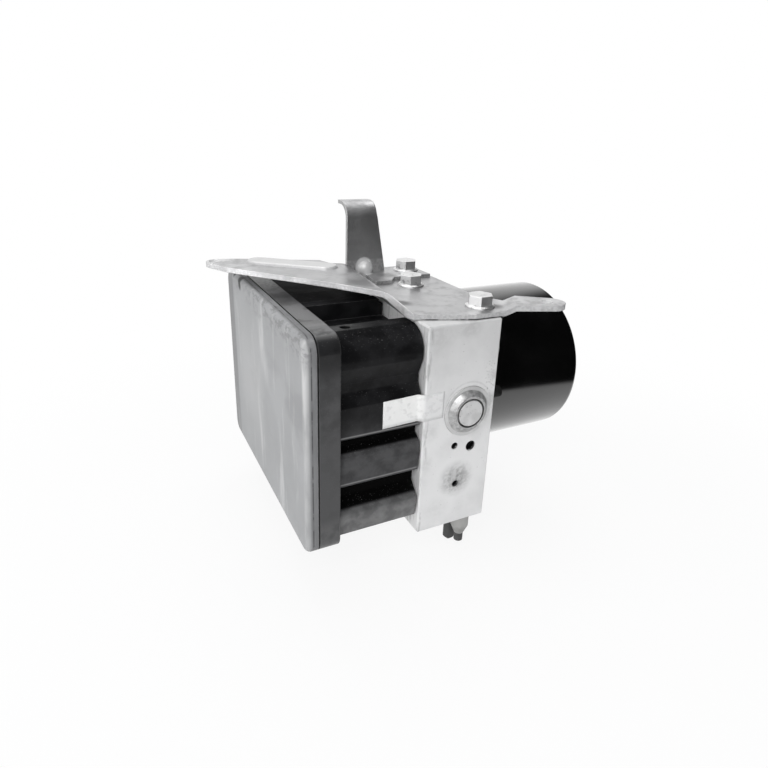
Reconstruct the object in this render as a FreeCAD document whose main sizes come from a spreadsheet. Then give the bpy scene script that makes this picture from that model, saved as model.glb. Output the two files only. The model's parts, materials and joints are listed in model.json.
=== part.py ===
import FreeCAD, Part
import math
import os
import Sketcher

# Anti-lock brake modulator: control unit, valve block, pump motor and folded bracket.
# X runs from the control unit through the block to the motor, Y along the block away
# from the pump plug on its near side, Z up. Lengths are millimetres, counted from the
# block's lower corner on its control-unit face and near side. Placing a piece shifts
# that count to the frame's origin, the lower mouth of the wing's fixing hole.

App = FreeCAD
doc = App.newDocument("abs_brake_module")
sheet = doc.addObject("Spreadsheet::Sheet", "sizes")


class Dim:
    """A length with its value and the sheet formula that it comes from."""

    def __init__(self, value, text):
        self.value = value
        self.text = text

    def __add__(self, other):
        return joined(self, "+", other)

    def __radd__(self, other):
        return joined(other, "+", self)

    def __sub__(self, other):
        return joined(self, "-", other)

    def __rsub__(self, other):
        return joined(other, "-", self)

    def __mul__(self, other):
        return joined(self, "*", other)

    def __rmul__(self, other):
        return joined(other, "*", self)

    def __truediv__(self, other):
        return joined(self, "/", other)

    def __neg__(self):
        return joined(0, "-", self)


def as_dim(number):
    """Return number as a Dim."""
    if isinstance(number, Dim):
        return number
    return Dim(float(number), repr(float(number)))


def joined(left, sign, right):
    """Return the Dim of left sign right."""
    a = as_dim(left)
    b = as_dim(right)
    results = {"+": a.value + b.value, "-": a.value - b.value, "*": a.value * b.value}
    value = a.value / b.value if sign == "/" else results[sign]
    return Dim(value, "(%s %s %s)" % (a.text, sign, b.text))


rows = []


def size(alias, value):
    """Write one driving size to the sheet and return it as a Dim."""
    rows.append(alias)
    row = len(rows)
    sheet.set("A%d" % row, alias)
    sheet.set("B%d" % row, str(value))
    sheet.setAlias("B%d" % row, alias)
    return Dim(float(value), "sizes." + alias)


ZERO = as_dim(0)

# Valve block
block_depth = size("block_depth", 36.5)
block_width = size("block_width", 100)
block_height = size("block_height", 100)
block_chamfer = size("block_chamfer", 0.6)


def from_middle(alias, run):
    """A place along Y, kept in the sheet as its distance from the block's middle."""
    return block_width / 2 + size(alias, run)


def from_top(alias, drop):
    """A level, kept in the sheet as its drop below the block's top."""
    return block_height - size(alias, drop)


def past_block(alias, reach):
    """A place along X, kept in the sheet as its distance from the block's motor face."""
    return block_depth + size(alias, reach)


axis_y = block_width / 2
axis_z = from_top("axis_z", 41.5)

# Control unit
cover_front = size("cover_front", 53.1)
cover_depth = size("cover_depth", 4.9)
cover_wall = size("cover_wall", 2)
seal_thickness = size("seal_thickness", 0.6)
flange_back = size("flange_back", 38.7)
ecu_near = size("ecu_near", 51.25) - axis_y
ecu_far = from_middle("ecu_far", 76.8)
ecu_bottom = from_top("ecu_bottom", 95.6)
ecu_top = from_top("ecu_top", -1.8)
ecu_corner = size("ecu_corner", 7)
cover_edge = size("cover_edge", 2.4)
seal_inset = size("seal_inset", 1.1)
seal_width = size("seal_width", 1.8)
gasket_thickness = size("gasket_thickness", 0.6)
housing_side = from_middle("housing_side", -47.7)
housing_bottom = from_top("housing_bottom", 90.8)
housing_shoulder = from_top("housing_shoulder", 1.3)
housing_ridge = from_top("housing_ridge", 0.9)
housing_valley = from_top("housing_valley", 6.6)
housing_rear_top = from_top("housing_rear_top", 3)
housing_far = from_middle("housing_far", 74.5)
shoulder_radius = size("shoulder_radius", 10)
shoulder_far = from_middle("shoulder_far", -30.4)
valley_near = from_middle("valley_near", -25)
ridge_near = from_middle("ridge_near", -8.4)
rib_far = from_middle("rib_far", -2.2)
ridge_far = from_middle("ridge_far", 21)
rear_top_near = from_middle("rear_top_near", 28)
rib_top = from_top("rib_top", -1.2)
rib_end = size("rib_end", 2.4)
groove_a_top = from_top("groove_a_top", 14)
groove_a_high = from_top("groove_a_high", 21.5)
groove_a_low = from_top("groove_a_low", 25.5)
groove_a_foot = from_top("groove_a_foot", 30.5)
groove_a_depth = size("groove_a_depth", 3.2)
groove_b_top = from_top("groove_b_top", 44.6)
groove_b_high = from_top("groove_b_high", 47)
groove_b_low = from_top("groove_b_low", 49.6)
groove_b_foot = from_top("groove_b_foot", 52.4)
groove_b_depth = size("groove_b_depth", 3.6)
groove_c_top = from_top("groove_c_top", 66.6)
groove_c_high = from_top("groove_c_high", 70.2)
groove_c_low = from_top("groove_c_low", 74.4)
groove_c_foot = from_top("groove_c_foot", 80.6)
groove_c_depth = size("groove_c_depth", 4.6)
middle_bulge = size("middle_bulge", 1.4)
middle_bulge_z = from_top("middle_bulge_z", 57)
lower_bulge = size("lower_bulge", 1)
lower_bulge_z = from_top("lower_bulge_z", 84.5)
lobe_round = size("lobe_round", 1.1)
top_hole_x = size("top_hole_x", -29.7)
top_hole_y = from_middle("top_hole_y", -33.4)
top_hole_radius = size("top_hole_radius", 2.4)
top_hole_depth = size("top_hole_depth", 5)
board_ledge = from_middle("board_ledge", -47)
flange_wall = size("flange_wall", 4)
cavity_near = from_middle("cavity_near", -40.5)
cavity_far = from_middle("cavity_far", 47)
cavity_low = from_top("cavity_low", 88)
cavity_high = from_top("cavity_high", 10)
housing_floor = size("housing_floor", 2.4)
board_thickness = size("board_thickness", 1.6)
board_gap = size("board_gap", 1)
board_recess = size("board_recess", 3.7)
shroud_near = from_middle("shroud_near", 51)
shroud_low = from_top("shroud_low", 86)
shroud_high = from_top("shroud_high", 6)
shroud_reach = size("shroud_reach", 8)
shroud_wall = size("shroud_wall", 2.4)
socket_depth = size("socket_depth", 20)
pin_width = size("pin_width", 1)
pin_length = size("pin_length", 13)
pin_row_near = size("pin_row_near", 8)
pin_row_pitch = size("pin_row_pitch", 6)
pin_low = size("pin_low", 12)
pin_pitch = size("pin_pitch", 8)

# Solenoid valves
valve_pitch = size("valve_pitch", 21)
valve_first = axis_y - valve_pitch * 1.5
outlet_row = from_top("outlet_row", 79.5)
inlet_row = from_top("inlet_row", 60)
valve_radius = size("valve_radius", 5.45)
valve_depth = size("valve_depth", 18)
dome_radius = size("dome_radius", 3.6)
dome_reach = size("dome_reach", 20)
plunger_radius = size("plunger_radius", 2.55)
plunger_length = size("plunger_length", 29)
plunger_travel = size("plunger_travel", 0.3)
end_gap = size("end_gap", 0.3)
running_gap = size("running_gap", 0.05)
orifice_radius = size("orifice_radius", 1)
coil_radius = size("coil_radius", 8.2)
coil_height = size("coil_height", 26)
yoke_wall = size("yoke_wall", 0.9)
coil_gap = size("coil_gap", 0.2)

# Pump
pump_x = size("pump_x", 22.3)
pump_bore = size("pump_bore", 7)
plug_radius = size("plug_radius", 11.9)
plug_depth = size("plug_depth", 5)
plug_foot = size("plug_foot", 10)
plug_lip = size("plug_lip", 8.1)
plug_rise = size("plug_rise", 2.7)
plug_disc = size("plug_disc", 6.1)
plug_groove = size("plug_groove", 0.85)
plug_groove_depth = size("plug_groove_depth", 1.2)
plug_step = size("plug_step", 0.4)
chamber_radius = size("chamber_radius", 13.5)
chamber_end = size("chamber_end", 12)
piston_radius = size("piston_radius", 4)
piston_start = size("piston_start", 16.7)
cylinder_start = size("cylinder_start", 8)
cylinder_gap = size("cylinder_gap", 14)
spring_wire = size("spring_wire", 0.6)
pump_spring_radius = size("pump_spring_radius", 2.8)
pump_spring_turns = size("pump_spring_turns", 5)
pump_travel = size("pump_travel", 2)

# Low-pressure accumulators
store_x = size("store_x", 12.5)
store_near = from_middle("store_near", -18)
store_far = from_middle("store_far", 28)
store_radius = size("store_radius", 8.5)
store_depth = size("store_depth", 24)
store_cap = size("store_cap", 3.5)
store_piston = size("store_piston", 8)
store_piston_floor = size("store_piston_floor", 2.5)
store_piston_wall = size("store_piston_wall", 1.6)
store_wire = size("store_wire", 0.8)
store_spring_radius = size("store_spring_radius", 5.4)
store_spring_turns = size("store_spring_turns", 4)

# Ports, drillings and the pieces under the block
port_radius = size("port_radius", 4.5)
port_depth = size("port_depth", 12.6)
port_step = size("port_step", 0.8)
port_x = size("port_x", 28)
port_first = from_middle("port_first", -20)
port_pitch = size("port_pitch", 17)
supply_radius = size("supply_radius", 5.5)
supply_depth = size("supply_depth", 11)
supply_low = from_top("supply_low", 80)
supply_high = from_top("supply_high", 62)
drill_depth = size("drill_depth", 7)
drill_a_x = size("drill_a_x", 17)
drill_a_z = from_top("drill_a_z", 58)
drill_b_x = size("drill_b_x", 25.7)
drill_b_z = from_top("drill_b_z", 59.8)
drill_c_x = size("drill_c_x", 19)
drill_c_z = from_top("drill_c_z", 78.3)
small_drill = size("small_drill", 1.7)
large_drill = size("large_drill", 2.5)
ball_sink = size("ball_sink", 4.4)
peg_x = size("peg_x", 28.4)
peg_y = size("peg_y", 6.8)
peg_radius = size("peg_radius", 4.3)
peg_neck = size("peg_neck", 2.4)
peg_straight = size("peg_straight", 8)
peg_taper = size("peg_taper", 4.5)
peg_pin = size("peg_pin", 0.9)
peg_end = size("peg_end", 17)
peg_root = size("peg_root", 2.4)
peg_root_depth = size("peg_root_depth", 8)
sleeve_radius = size("sleeve_radius", 2.2)
cap_x = size("cap_x", 27.6)
cap_y = size("cap_y", 14.2)
cap_radius = size("cap_radius", 2.8)
cap_drop = size("cap_drop", 22)
cap_root = size("cap_root", 1.9)
cap_root_depth = size("cap_root_depth", 6)
cap_nose = size("cap_nose", 2.2)

# Pump motor
can_radius = size("can_radius", 39.5)
can_end = past_block("can_end", 60.9)
can_wall = size("can_wall", 2)
can_round = size("can_round", 3.5)
cup_radius = size("cup_radius", 10.5)
cup_reach = size("cup_reach", 4)
cup_bore = size("cup_bore", 8.5)
shield_thickness = size("shield_thickness", 3)
collar_radius = size("collar_radius", 13.4)
collar_bore = size("collar_bore", 11)
collar_reach = size("collar_reach", 6.5)
shaft_radius = size("shaft_radius", 4)
shaft_start = size("shaft_start", 15)
eccentric_radius = size("eccentric_radius", 7)
eccentric_offset = size("eccentric_offset", 1)
eccentric_width = size("eccentric_width", 9)
ring_radius = size("ring_radius", 9)
bearing_width = size("bearing_width", 5)
rear_bearing_width = size("rear_bearing_width", 4)
holder_inner = size("holder_inner", 14)
holder_outer = size("holder_outer", 35)
holder_start = past_block("holder_start", 5)
holder_thickness = size("holder_thickness", 4.5)
brush_length = size("brush_length", 11)
brush_width = size("brush_width", 6)
brush_height = size("brush_height", 8)
commutator_radius = size("commutator_radius", 11)
commutator_length = size("commutator_length", 9)
core_radius = size("core_radius", 31)
core_start = past_block("core_start", 23.5)
core_length = size("core_length", 24)
winding_inner = size("winding_inner", 9)
winding_outer = size("winding_outer", 27)
winding_depth = size("winding_depth", 3.5)
magnet_thickness = size("magnet_thickness", 5.5)
magnet_extra = size("magnet_extra", 4)
magnet_span = size("magnet_span", 130)
seal_inner = size("seal_inner", 34.6)
motor_seal_width = size("motor_seal_width", 1.9)
motor_seal_depth = size("motor_seal_depth", 1.4)
ear_radius = size("ear_radius", 6)
ear_low_near = from_middle("ear_low_near", -33)
ear_low_z = from_top("ear_low_z", 74.5)
ear_high_near = from_middle("ear_high_near", -38)
ear_high_z = from_top("ear_high_z", 18)
lug_y = from_middle("lug_y", -47.4)
lug_z = from_top("lug_z", 36)
lug_radius = size("lug_radius", 2.6)
lug_thickness = size("lug_thickness", 4)
motor_screw = size("motor_screw", 2.5)
motor_screw_head = size("motor_screw_head", 4.2)
motor_screw_depth = size("motor_screw_depth", 13)
screw_head_height = size("screw_head_height", 3.2)
contact_z = from_top("contact_z", 21)
contact_radius = size("contact_radius", 2)
contact_bore = size("contact_bore", 2.1)
contact_reach = size("contact_reach", 30)

# Control-unit screws
ecu_screw = size("ecu_screw", 2.4)
ecu_screw_head = size("ecu_screw_head", 4.1)
ecu_screw_depth = size("ecu_screw_depth", 12)
ecu_screw_high = from_top("ecu_screw_high", 16)
ecu_screw_near = from_middle("ecu_screw_near", -35.8)
ecu_screw_far = from_middle("ecu_screw_far", 42.5)

# Bracket
sheet_thickness = size("sheet_thickness", 2.5)
wing_rise = size("wing_rise", 7.5)
web_run = size("web_run", 7.4)
fold_radius = size("fold_radius", 3)
crease_x = size("crease_x", -10.6)
fold_skew = size("fold_skew", 5.3)
fold_y = from_middle("fold_y", -50)
arm_rise = size("arm_rise", 2)
arm_skew = size("arm_skew", 36.2)
arm_fold_start = size("arm_fold_start", 29.4)
arm_fold_run = size("arm_fold_run", 5.3)
plate_right = size("plate_right", 41)
plate_far = from_middle("plate_far", 42)
plate_near = from_middle("plate_near", -48.6)
wing_tip_x = size("wing_tip_x", -62.6)
wing_tip_y = from_middle("wing_tip_y", 53.6)
wing_tip_radius = size("wing_tip_radius", 5)
wing_hole_x = size("wing_hole_x", -63.4)
wing_hole_y = from_middle("wing_hole_y", 54.6)
arm_tip_x = size("arm_tip_x", 62.3)
arm_tip_y = from_middle("arm_tip_y", -49.6)
arm_tip_radius = size("arm_tip_radius", 6.6)
arm_hole_x = size("arm_hole_x", 61)
arm_hole_y = from_middle("arm_hole_y", -49.2)
fixing_hole = size("fixing_hole", 2.65)
wing_near_a_x = size("wing_near_a_x", -46.9)
wing_near_a_y = from_middle("wing_near_a_y", 21.4)
wing_near_b_x = size("wing_near_b_x", -34.7)
wing_near_b_y = from_middle("wing_near_b_y", 6.9)
wing_near_c_x = size("wing_near_c_x", -23.2)
wing_near_c_y = from_middle("wing_near_c_y", -7.2)
wing_near_d_x = size("wing_near_d_x", -13)
wing_near_d_y = from_middle("wing_near_d_y", -22.2)
wing_near_e_x = size("wing_near_e_x", -4.6)
wing_near_e_y = from_middle("wing_near_e_y", -36.6)
wing_near_f_x = size("wing_near_f_x", -1.6)
wing_near_f_y = from_middle("wing_near_f_y", -39.8)
wing_near_g_x = size("wing_near_g_x", 2.3)
wing_near_g_y = from_middle("wing_near_g_y", -40.8)
wing_far_a_x = size("wing_far_a_x", -10.5)
wing_far_a_y = from_middle("wing_far_a_y", 32.1)
wing_far_b_x = size("wing_far_b_x", -13)
wing_far_b_y = from_middle("wing_far_b_y", 40.5)
wing_far_c_x = size("wing_far_c_x", -22.4)
wing_far_c_y = from_middle("wing_far_c_y", 44)
wing_far_d_x = size("wing_far_d_x", -39.1)
wing_far_d_y = from_middle("wing_far_d_y", 51.7)
wing_far_e_x = size("wing_far_e_x", -54.1)
wing_far_e_y = from_middle("wing_far_e_y", 57.3)
front_corner_x = size("front_corner_x", 23.6)
front_tip_x = size("front_tip_x", 37.2)
arm_root_x = size("arm_root_x", 47.9)
arm_root_y = from_middle("arm_root_y", -34.4)
plate_right_near = from_middle("plate_right_near", -23)
plate_right_far = from_middle("plate_right_far", 24)
plate_left_far = size("plate_left_far", 8.2)
plate_left_near = size("plate_left_near", 7)
tab_gap_x = size("tab_gap_x", -3)
arm_inner_x = size("arm_inner_x", 32)
arm_inner_y = from_middle("arm_inner_y", -46)
arm_waist_x = size("arm_waist_x", 43.5)
arm_waist_y = from_middle("arm_waist_y", -49.5)
arm_side_x = size("arm_side_x", 53.6)
arm_side_y = from_middle("arm_side_y", -35.4)
arm_back_x = size("arm_back_x", 40)
bead_near_x = size("bead_near_x", -16.4)
bead_near_y = from_middle("bead_near_y", 23.6)
bead_far_x = size("bead_far_x", -43.2)
bead_far_y = from_middle("bead_far_y", 45.3)
bead_radius = size("bead_radius", 6.4)
bead_height = size("bead_height", 1.3)
tab_near = from_middle("tab_near", 30)
tab_left = size("tab_left", -2.2)
tab_right = size("tab_right", 19.2)
tab_narrowing = size("tab_narrowing", 5)
tab_top = from_top("tab_top", -40)
tab_bend = size("tab_bend", 8.5)
tab_lip = size("tab_lip", 3.5)
tab_sheet = size("tab_sheet", 1.8)
foot_near = from_middle("foot_near", 16)
foot_front = from_middle("foot_front", 10.4)
foot_front_left = size("foot_front_left", 5)
foot_front_right = size("foot_front_right", 13.8)
foot_step_right = size("foot_step_right", 18)
foot_left = size("foot_left", 6.9)
foot_right = size("foot_right", 39)
foot_far = from_middle("foot_far", 38)
gusset_radius = size("gusset_radius", 4.2)
gusset_lift = size("gusset_lift", 2)
gusset_x = size("gusset_x", 8.1)

# Bracket bolts
bolt_radius = size("bolt_radius", 3)
bolt_depth = size("bolt_depth", 12)
bolt_flats = size("bolt_flats", 10)
bolt_head = size("bolt_head", 4.2)
bolt_flange = size("bolt_flange", 6.5)
bolt_flange_height = size("bolt_flange_height", 1.2)
front_bolt_x = size("front_bolt_x", 32.2)
front_bolt_y = from_middle("front_bolt_y", -38.4)
middle_bolt_x = size("middle_bolt_x", 21.4)
middle_bolt_y = from_middle("middle_bolt_y", 5)
rear_bolt_x = size("rear_bolt_x", 31)
rear_bolt_y = from_middle("rear_bolt_y", 28.2)
sheet.recompute()

CYCLE = App.Vector(1, 1, 1)
RIGHT_ANGLE = 90
HALF_TURN = 180
THIRD_TURN = 120
FULL_TURN = 360
TURNS = {
    "z": App.Rotation(),
    "-z": App.Rotation(App.Vector(1, 0, 0), HALF_TURN),
    "x": App.Rotation(CYCLE, THIRD_TURN),
    "y": App.Rotation(App.Vector(1, 0, 0), -RIGHT_ANGLE),
    "-y": App.Rotation(App.Vector(1, 0, 0), RIGHT_ANGLE),
}


ORIGIN = (wing_hole_x, wing_hole_y, block_height + wing_rise)


def bind(thing, prop, length):
    """Set a property and tie it to its sheet formula."""
    length = as_dim(length)
    setattr(thing, prop, length.value)
    thing.setExpression(prop, length.text)


def place(thing, x, y, z, facing="z", origin=ORIGIN):
    """Put a thing's origin at x, y, z with its local Z turned to facing."""
    spot = [as_dim(length) - start for length, start in zip((x, y, z), origin)]
    base = App.Vector(spot[0].value, spot[1].value, spot[2].value)
    thing.Placement = App.Placement(base, TURNS[facing])
    for axis, length in zip("xyz", spot):
        thing.setExpression("Placement.Base." + axis, length.text)


def named(kind, name):
    """Add an object of one kind under its own name."""
    thing = doc.addObject(kind, name)
    thing.Label = name
    return thing


def rod(name, radius, length, x, y, z, facing="z"):
    """A plain cylinder."""
    thing = named("Part::Cylinder", name)
    bind(thing, "Radius", radius)
    bind(thing, "Height", length)
    place(thing, x, y, z, facing)
    return thing


def slab(name, low, high):
    """A box between two corners."""
    thing = named("Part::Box", name)
    for prop, a, b in zip(("Length", "Width", "Height"), low, high):
        bind(thing, prop, as_dim(b) - a)
    place(thing, *low)
    return thing


def cut(name, base, tools):
    """Base with all tools taken away."""
    thing = named("Part::Cut", name)
    thing.Base = base
    if len(tools) == 1:
        thing.Tool = tools[0]
        return thing
    thing.Tool = fused(name + "_tools", tools)
    return thing


def fused(name, pieces):
    """Pieces joined to one."""
    thing = named("Part::MultiFuse", name)
    thing.Shapes = pieces
    return thing


def group(name, pieces):
    """Like pieces kept as separate solids of one node."""
    thing = named("Part::Compound", name)
    thing.Links = pieces
    return thing


def tie(sketch, geometry, point, x, y):
    """Fix one point of a sketch at x, y."""
    for kind, length in (("DistanceX", x), ("DistanceY", y)):
        length = as_dim(length)
        rule = Sketcher.Constraint(kind, -1, 1, geometry, point, length.value)
        number = sketch.addConstraint(rule)
        sketch.setExpression("Constraints[%d]" % number, length.text)


def outline(sketch, corners):
    """Draw a closed outline of straight lines through corners."""
    spots = [App.Vector(as_dim(x).value, as_dim(y).value, 0) for x, y in corners]
    first = sketch.GeometryCount
    count = len(corners)
    for i in range(count):
        sketch.addGeometry(Part.LineSegment(spots[i], spots[(i + 1) % count]), False)
    for i in range(count):
        following = first + (i + 1) % count
        sketch.addConstraint(Sketcher.Constraint("Coincident", first + i, 2, following, 1))
        tie(sketch, first + i, 1, *corners[i])


def box_outline(sketch, low, high):
    """Draw a rectangle between two corners."""
    (x0, y0), (x1, y1) = low, high
    outline(sketch, [(x0, y0), (x1, y0), (x1, y1), (x0, y1)])


def ring_outline(sketch, x, y, radius):
    """Draw a circle."""
    radius = as_dim(radius)
    centre = App.Vector(as_dim(x).value, as_dim(y).value, 0)
    circle = Part.Circle(centre, App.Vector(0, 0, 1), radius.value)
    number = sketch.addGeometry(circle, False)
    tie(sketch, number, 3, x, y)
    rule = sketch.addConstraint(Sketcher.Constraint("Radius", number, radius.value))
    sketch.setExpression("Constraints[%d]" % rule, radius.text)


def body_at(name, x=0, y=0, z=0, facing="z"):
    """An empty body at its place."""
    body = named("PartDesign::Body", name)
    place(body, x, y, z, facing)
    return body


def new_sketch(body, name, height=None, role="XY_Plane"):
    """A sketch on one of the body's own planes, raised by height."""
    sketch = body.newObject("Sketcher::SketchObject", name)
    plane = [part for part in body.Origin.OriginFeatures if part.Role == role][0]
    sketch.AttachmentSupport = [(plane, "")]
    sketch.MapMode = "FlatFace"
    if height is not None:
        sketch.AttachmentOffset = App.Placement(App.Vector(0, 0, height.value), App.Rotation())
        sketch.setExpression("AttachmentOffset.Base.z", height.text)
    return sketch


def pad(body, sketch, length):
    """Raise a sketch along its normal."""
    feature = body.newObject("PartDesign::Pad", sketch.Name + "_pad")
    feature.Profile = sketch
    bind(feature, "Length", length)
    return feature


def pocket(body, sketch, length, outward=False):
    """Sink a sketch into the body."""
    feature = body.newObject("PartDesign::Pocket", sketch.Name + "_pocket")
    feature.Profile = sketch
    feature.Reversed = outward
    bind(feature, "Length", length)
    return feature


def turn(body, sketch, angle=FULL_TURN):
    """Turn a sketch about its vertical axis."""
    feature = body.newObject("PartDesign::Revolution", sketch.Name + "_turn")
    feature.Profile = sketch
    feature.ReferenceAxis = (sketch, ["V_Axis"])
    bind(feature, "Angle", angle)
    return feature


def turned(name, profile, x=0, y=0, z=0, facing="z"):
    """A turned piece from its half section, given as radius and height pairs."""
    body = body_at(name, x, y, z, facing)
    sketch = new_sketch(body, name + "_section", role="XZ_Plane")
    outline(sketch, profile)
    turn(body, sketch)
    return body


def tube(name, inner, outer, length, x, y, z, facing="z"):
    """A plain ring or tube."""
    profile = [(inner, ZERO), (outer, ZERO), (outer, length), (inner, length)]
    return turned(name, profile, x, y, z, facing)


def round_edges(body, feature, name, radius, chosen):
    """Fillet the edges that chosen accepts."""
    doc.recompute()
    edges = feature.Shape.Edges
    picked = ["Edge%d" % (i + 1) for i, edge in enumerate(edges) if chosen(edge)]
    fillet = body.newObject("PartDesign::Fillet", name)
    fillet.Base = (feature, picked)
    bind(fillet, "Radius", radius)
    return fillet


def runs_along(edge, axis):
    """True for a straight edge that lies along local axis number axis."""
    if edge.Curve.TypeId != "Part::GeomLine":
        return False
    return abs(abs(edge.Curve.Direction[axis]) - 1) < 1e-6


def spring(name, radius, wire, turns, length, x, y, z, facing="z"):
    """A coil spring whose axis is its local Z."""
    body = body_at(name, x, y, z, facing)
    section = new_sketch(body, name + "_section", role="XZ_Plane")
    ring_outline(section, radius, 0, wire)
    coil = body.newObject("PartDesign::AdditiveHelix", name + "_coil")
    coil.Profile = section
    coil.ReferenceAxis = (section, ["V_Axis"])
    coil.Mode = "height-turns-angle"
    bind(coil, "Height", as_dim(length) - wire * 2)
    bind(coil, "Turns", turns)
    return body


def upright(edge):
    """True for a straight edge along local Z."""
    return runs_along(edge, 2)


ECU_LOW = (-ecu_near, ecu_bottom)
ECU_HIGH = (ecu_far, ecu_top)


def make_cover():
    """Grey lid of the control unit: a shallow pan with round corners and edge."""
    body = body_at("ecu_cover", facing="x")
    sketch = new_sketch(body, "cover_plan", -cover_front)
    box_outline(sketch, ECU_LOW, ECU_HIGH)
    blank = pad(body, sketch, cover_depth)
    corners = round_edges(body, blank, "cover_corners", ecu_corner, upright)

    def front(edge):
        return all(abs(v.Point.z + cover_front.value) < 1e-6 for v in edge.Vertexes)

    round_edges(body, corners, "cover_front_round", cover_edge, front)
    inside = new_sketch(body, "cover_inside", cover_depth - cover_front)
    inset = cover_wall + cover_edge
    box_outline(inside, (inset - ecu_near, ecu_bottom + inset), (ecu_far - inset, ecu_top - inset))
    pocket(body, inside, cover_depth - cover_wall)
    return body


def make_cover_seal():
    """Seal in the seam between lid and housing."""
    body = body_at("cover_seal", facing="x")
    sketch = new_sketch(body, "cover_seal_plan", cover_depth - cover_front)
    box_outline(sketch, *inset_plan(seal_inset))
    box_outline(sketch, *inset_plan(seal_inset + seal_width))
    blank = pad(body, sketch, seal_thickness)
    round_edges(body, blank, "cover_seal_corners", ecu_corner - seal_inset, outer_corner)
    return body


def inset_plan(inset):
    """The control unit's outline, drawn in by inset."""
    low = (inset - ecu_near, ecu_bottom + inset)
    high = (ecu_far - inset, ecu_top - inset)
    return low, high


def outer_corner(edge):
    """True for the four outermost edges of the seal."""
    if not runs_along(edge, 2):
        return False
    spot = edge.Vertexes[0].Point
    reach = (seal_inset + seal_width / 2).value
    near = spot.x < reach - ecu_near.value or spot.x > ecu_far.value - reach
    level = spot.y < ecu_bottom.value + reach or spot.y > ecu_top.value - reach
    return near and level


def housing_outline():
    """Section of the housing behind its flange: lobed side and ridged top."""
    side = housing_side
    middle = housing_side - middle_bulge
    lower = housing_side - lower_bulge
    groove_a = side + groove_a_depth
    groove_b = side + groove_b_depth
    groove_c = side + groove_c_depth
    step = housing_valley + 1
    return [
        (lower + lobe_round, housing_bottom),
        (housing_far, housing_bottom),
        (housing_far, housing_rear_top),
        (rear_top_near, housing_rear_top),
        (rear_top_near, step),
        (ridge_far, step),
        (ridge_far, housing_ridge),
        (ridge_near, housing_ridge),
        (ridge_near, housing_valley),
        (valley_near, housing_valley),
        (shoulder_far, housing_shoulder),
        (side, housing_shoulder),
        (side, groove_a_top),
        (groove_a, groove_a_high),
        (groove_a, groove_a_low),
        (side, groove_a_foot),
        (side, groove_b_top),
        (groove_b, groove_b_high),
        (groove_b, groove_b_low),
        (middle + lobe_round / 2, groove_b_foot),
        (middle, middle_bulge_z),
        (middle + lobe_round, groove_c_top),
        (groove_c, groove_c_high),
        (groove_c, groove_c_low),
        (lower, groove_c_foot),
        (lower, lower_bulge_z),
    ]


def make_housing():
    """Black moulding: flange, lobed walls, valve room, board recess and harness shroud."""
    body = body_at("housing_moulding", facing="x")
    seam = cover_depth + seal_thickness - cover_front
    flange = new_sketch(body, "flange_plan", seam)
    box_outline(flange, ECU_LOW, ECU_HIGH)
    blank = pad(body, flange, -flange_back - seam)
    round_edges(body, blank, "flange_corners", ecu_corner, upright)
    walls = new_sketch(body, "wall_section", -flange_back)
    outline(walls, housing_outline())
    raised = pad(body, walls, flange_back - gasket_thickness)

    def shoulder(edge):
        spot = edge.Vertexes[0].Point
        on_side = abs(spot.x - housing_side.value) < 1e-6
        return runs_along(edge, 2) and on_side and abs(spot.y - housing_shoulder.value) < 1e-6

    rounded = round_edges(body, raised, "shoulder_round", shoulder_radius, shoulder)

    def lobe(edge):
        spot = edge.Vertexes[0].Point
        low = housing_bottom.value + 1
        groove = (housing_side + groove_c_depth).value
        high = (housing_shoulder - shoulder_radius).value - 1
        on_side = spot.x < groove + 0.1 and low < spot.y < high
        raised_end = max(vertex.Point.z for vertex in edge.Vertexes)
        return runs_along(edge, 2) and on_side and raised_end > -flange_back.value + 1

    round_edges(body, rounded, "lobe_rounds", lobe_round, lobe)
    rib = new_sketch(body, "rib_section", -flange_back)
    box_outline(rib, (ridge_near, housing_valley), (rib_far, rib_top))
    pad(body, rib, flange_back - rib_end)
    shroud = new_sketch(body, "shroud_plan", -gasket_thickness)
    box_outline(shroud, (shroud_near, shroud_low), (housing_far, shroud_high))
    pad(body, shroud, shroud_reach + gasket_thickness)
    room = new_sketch(body, "valve_room", seam)
    box_outline(room, (cavity_near, cavity_low), (cavity_far, cavity_high))
    pocket(body, room, -seam - gasket_thickness - housing_floor, outward=True)
    recess = new_sketch(body, "board_seat", seam)
    low = (board_ledge, ecu_bottom + flange_wall)
    box_outline(recess, low, (ecu_far - flange_wall, ecu_top - flange_wall))
    pocket(body, recess, board_recess, outward=True)
    socket = new_sketch(body, "socket", shroud_reach)
    low = (shroud_near + shroud_wall, shroud_low + shroud_wall)
    high = (housing_far - shroud_wall, shroud_high - shroud_wall)
    box_outline(socket, low, high)
    pocket(body, socket, socket_depth)
    holes = new_sketch(body, "floor_holes", -gasket_thickness)
    for y, z in valve_spots():
        ring_outline(holes, y, z, dome_radius + coil_gap * 2)
    for y, z in ecu_screw_spots():
        ring_outline(holes, y, z, ecu_screw + end_gap)
    ring_outline(holes, axis_y, contact_z, contact_radius + end_gap)
    pocket(body, holes, housing_floor + end_gap)
    level = housing_shoulder - top_hole_depth
    hole = rod("top_hole", top_hole_radius, top_hole_depth * 2, top_hole_x, top_hole_y, level)
    return cut("ecu_housing", body, [hole])


def valve_spots():
    """Y and Z of the eight valves, outlets first."""
    rows_z = (outlet_row, inlet_row)
    return [(valve_first + valve_pitch * i, row) for row in rows_z for i in range(4)]


def ecu_screw_spots():
    """Y and Z of the control-unit screws."""
    low = (outlet_row + inlet_row) / 2
    first = valve_first + valve_pitch / 2
    return [(ecu_screw_near, ecu_screw_high), (ecu_screw_far, ecu_screw_high), (first, low),
            (first + valve_pitch * 2, low)]


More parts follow.
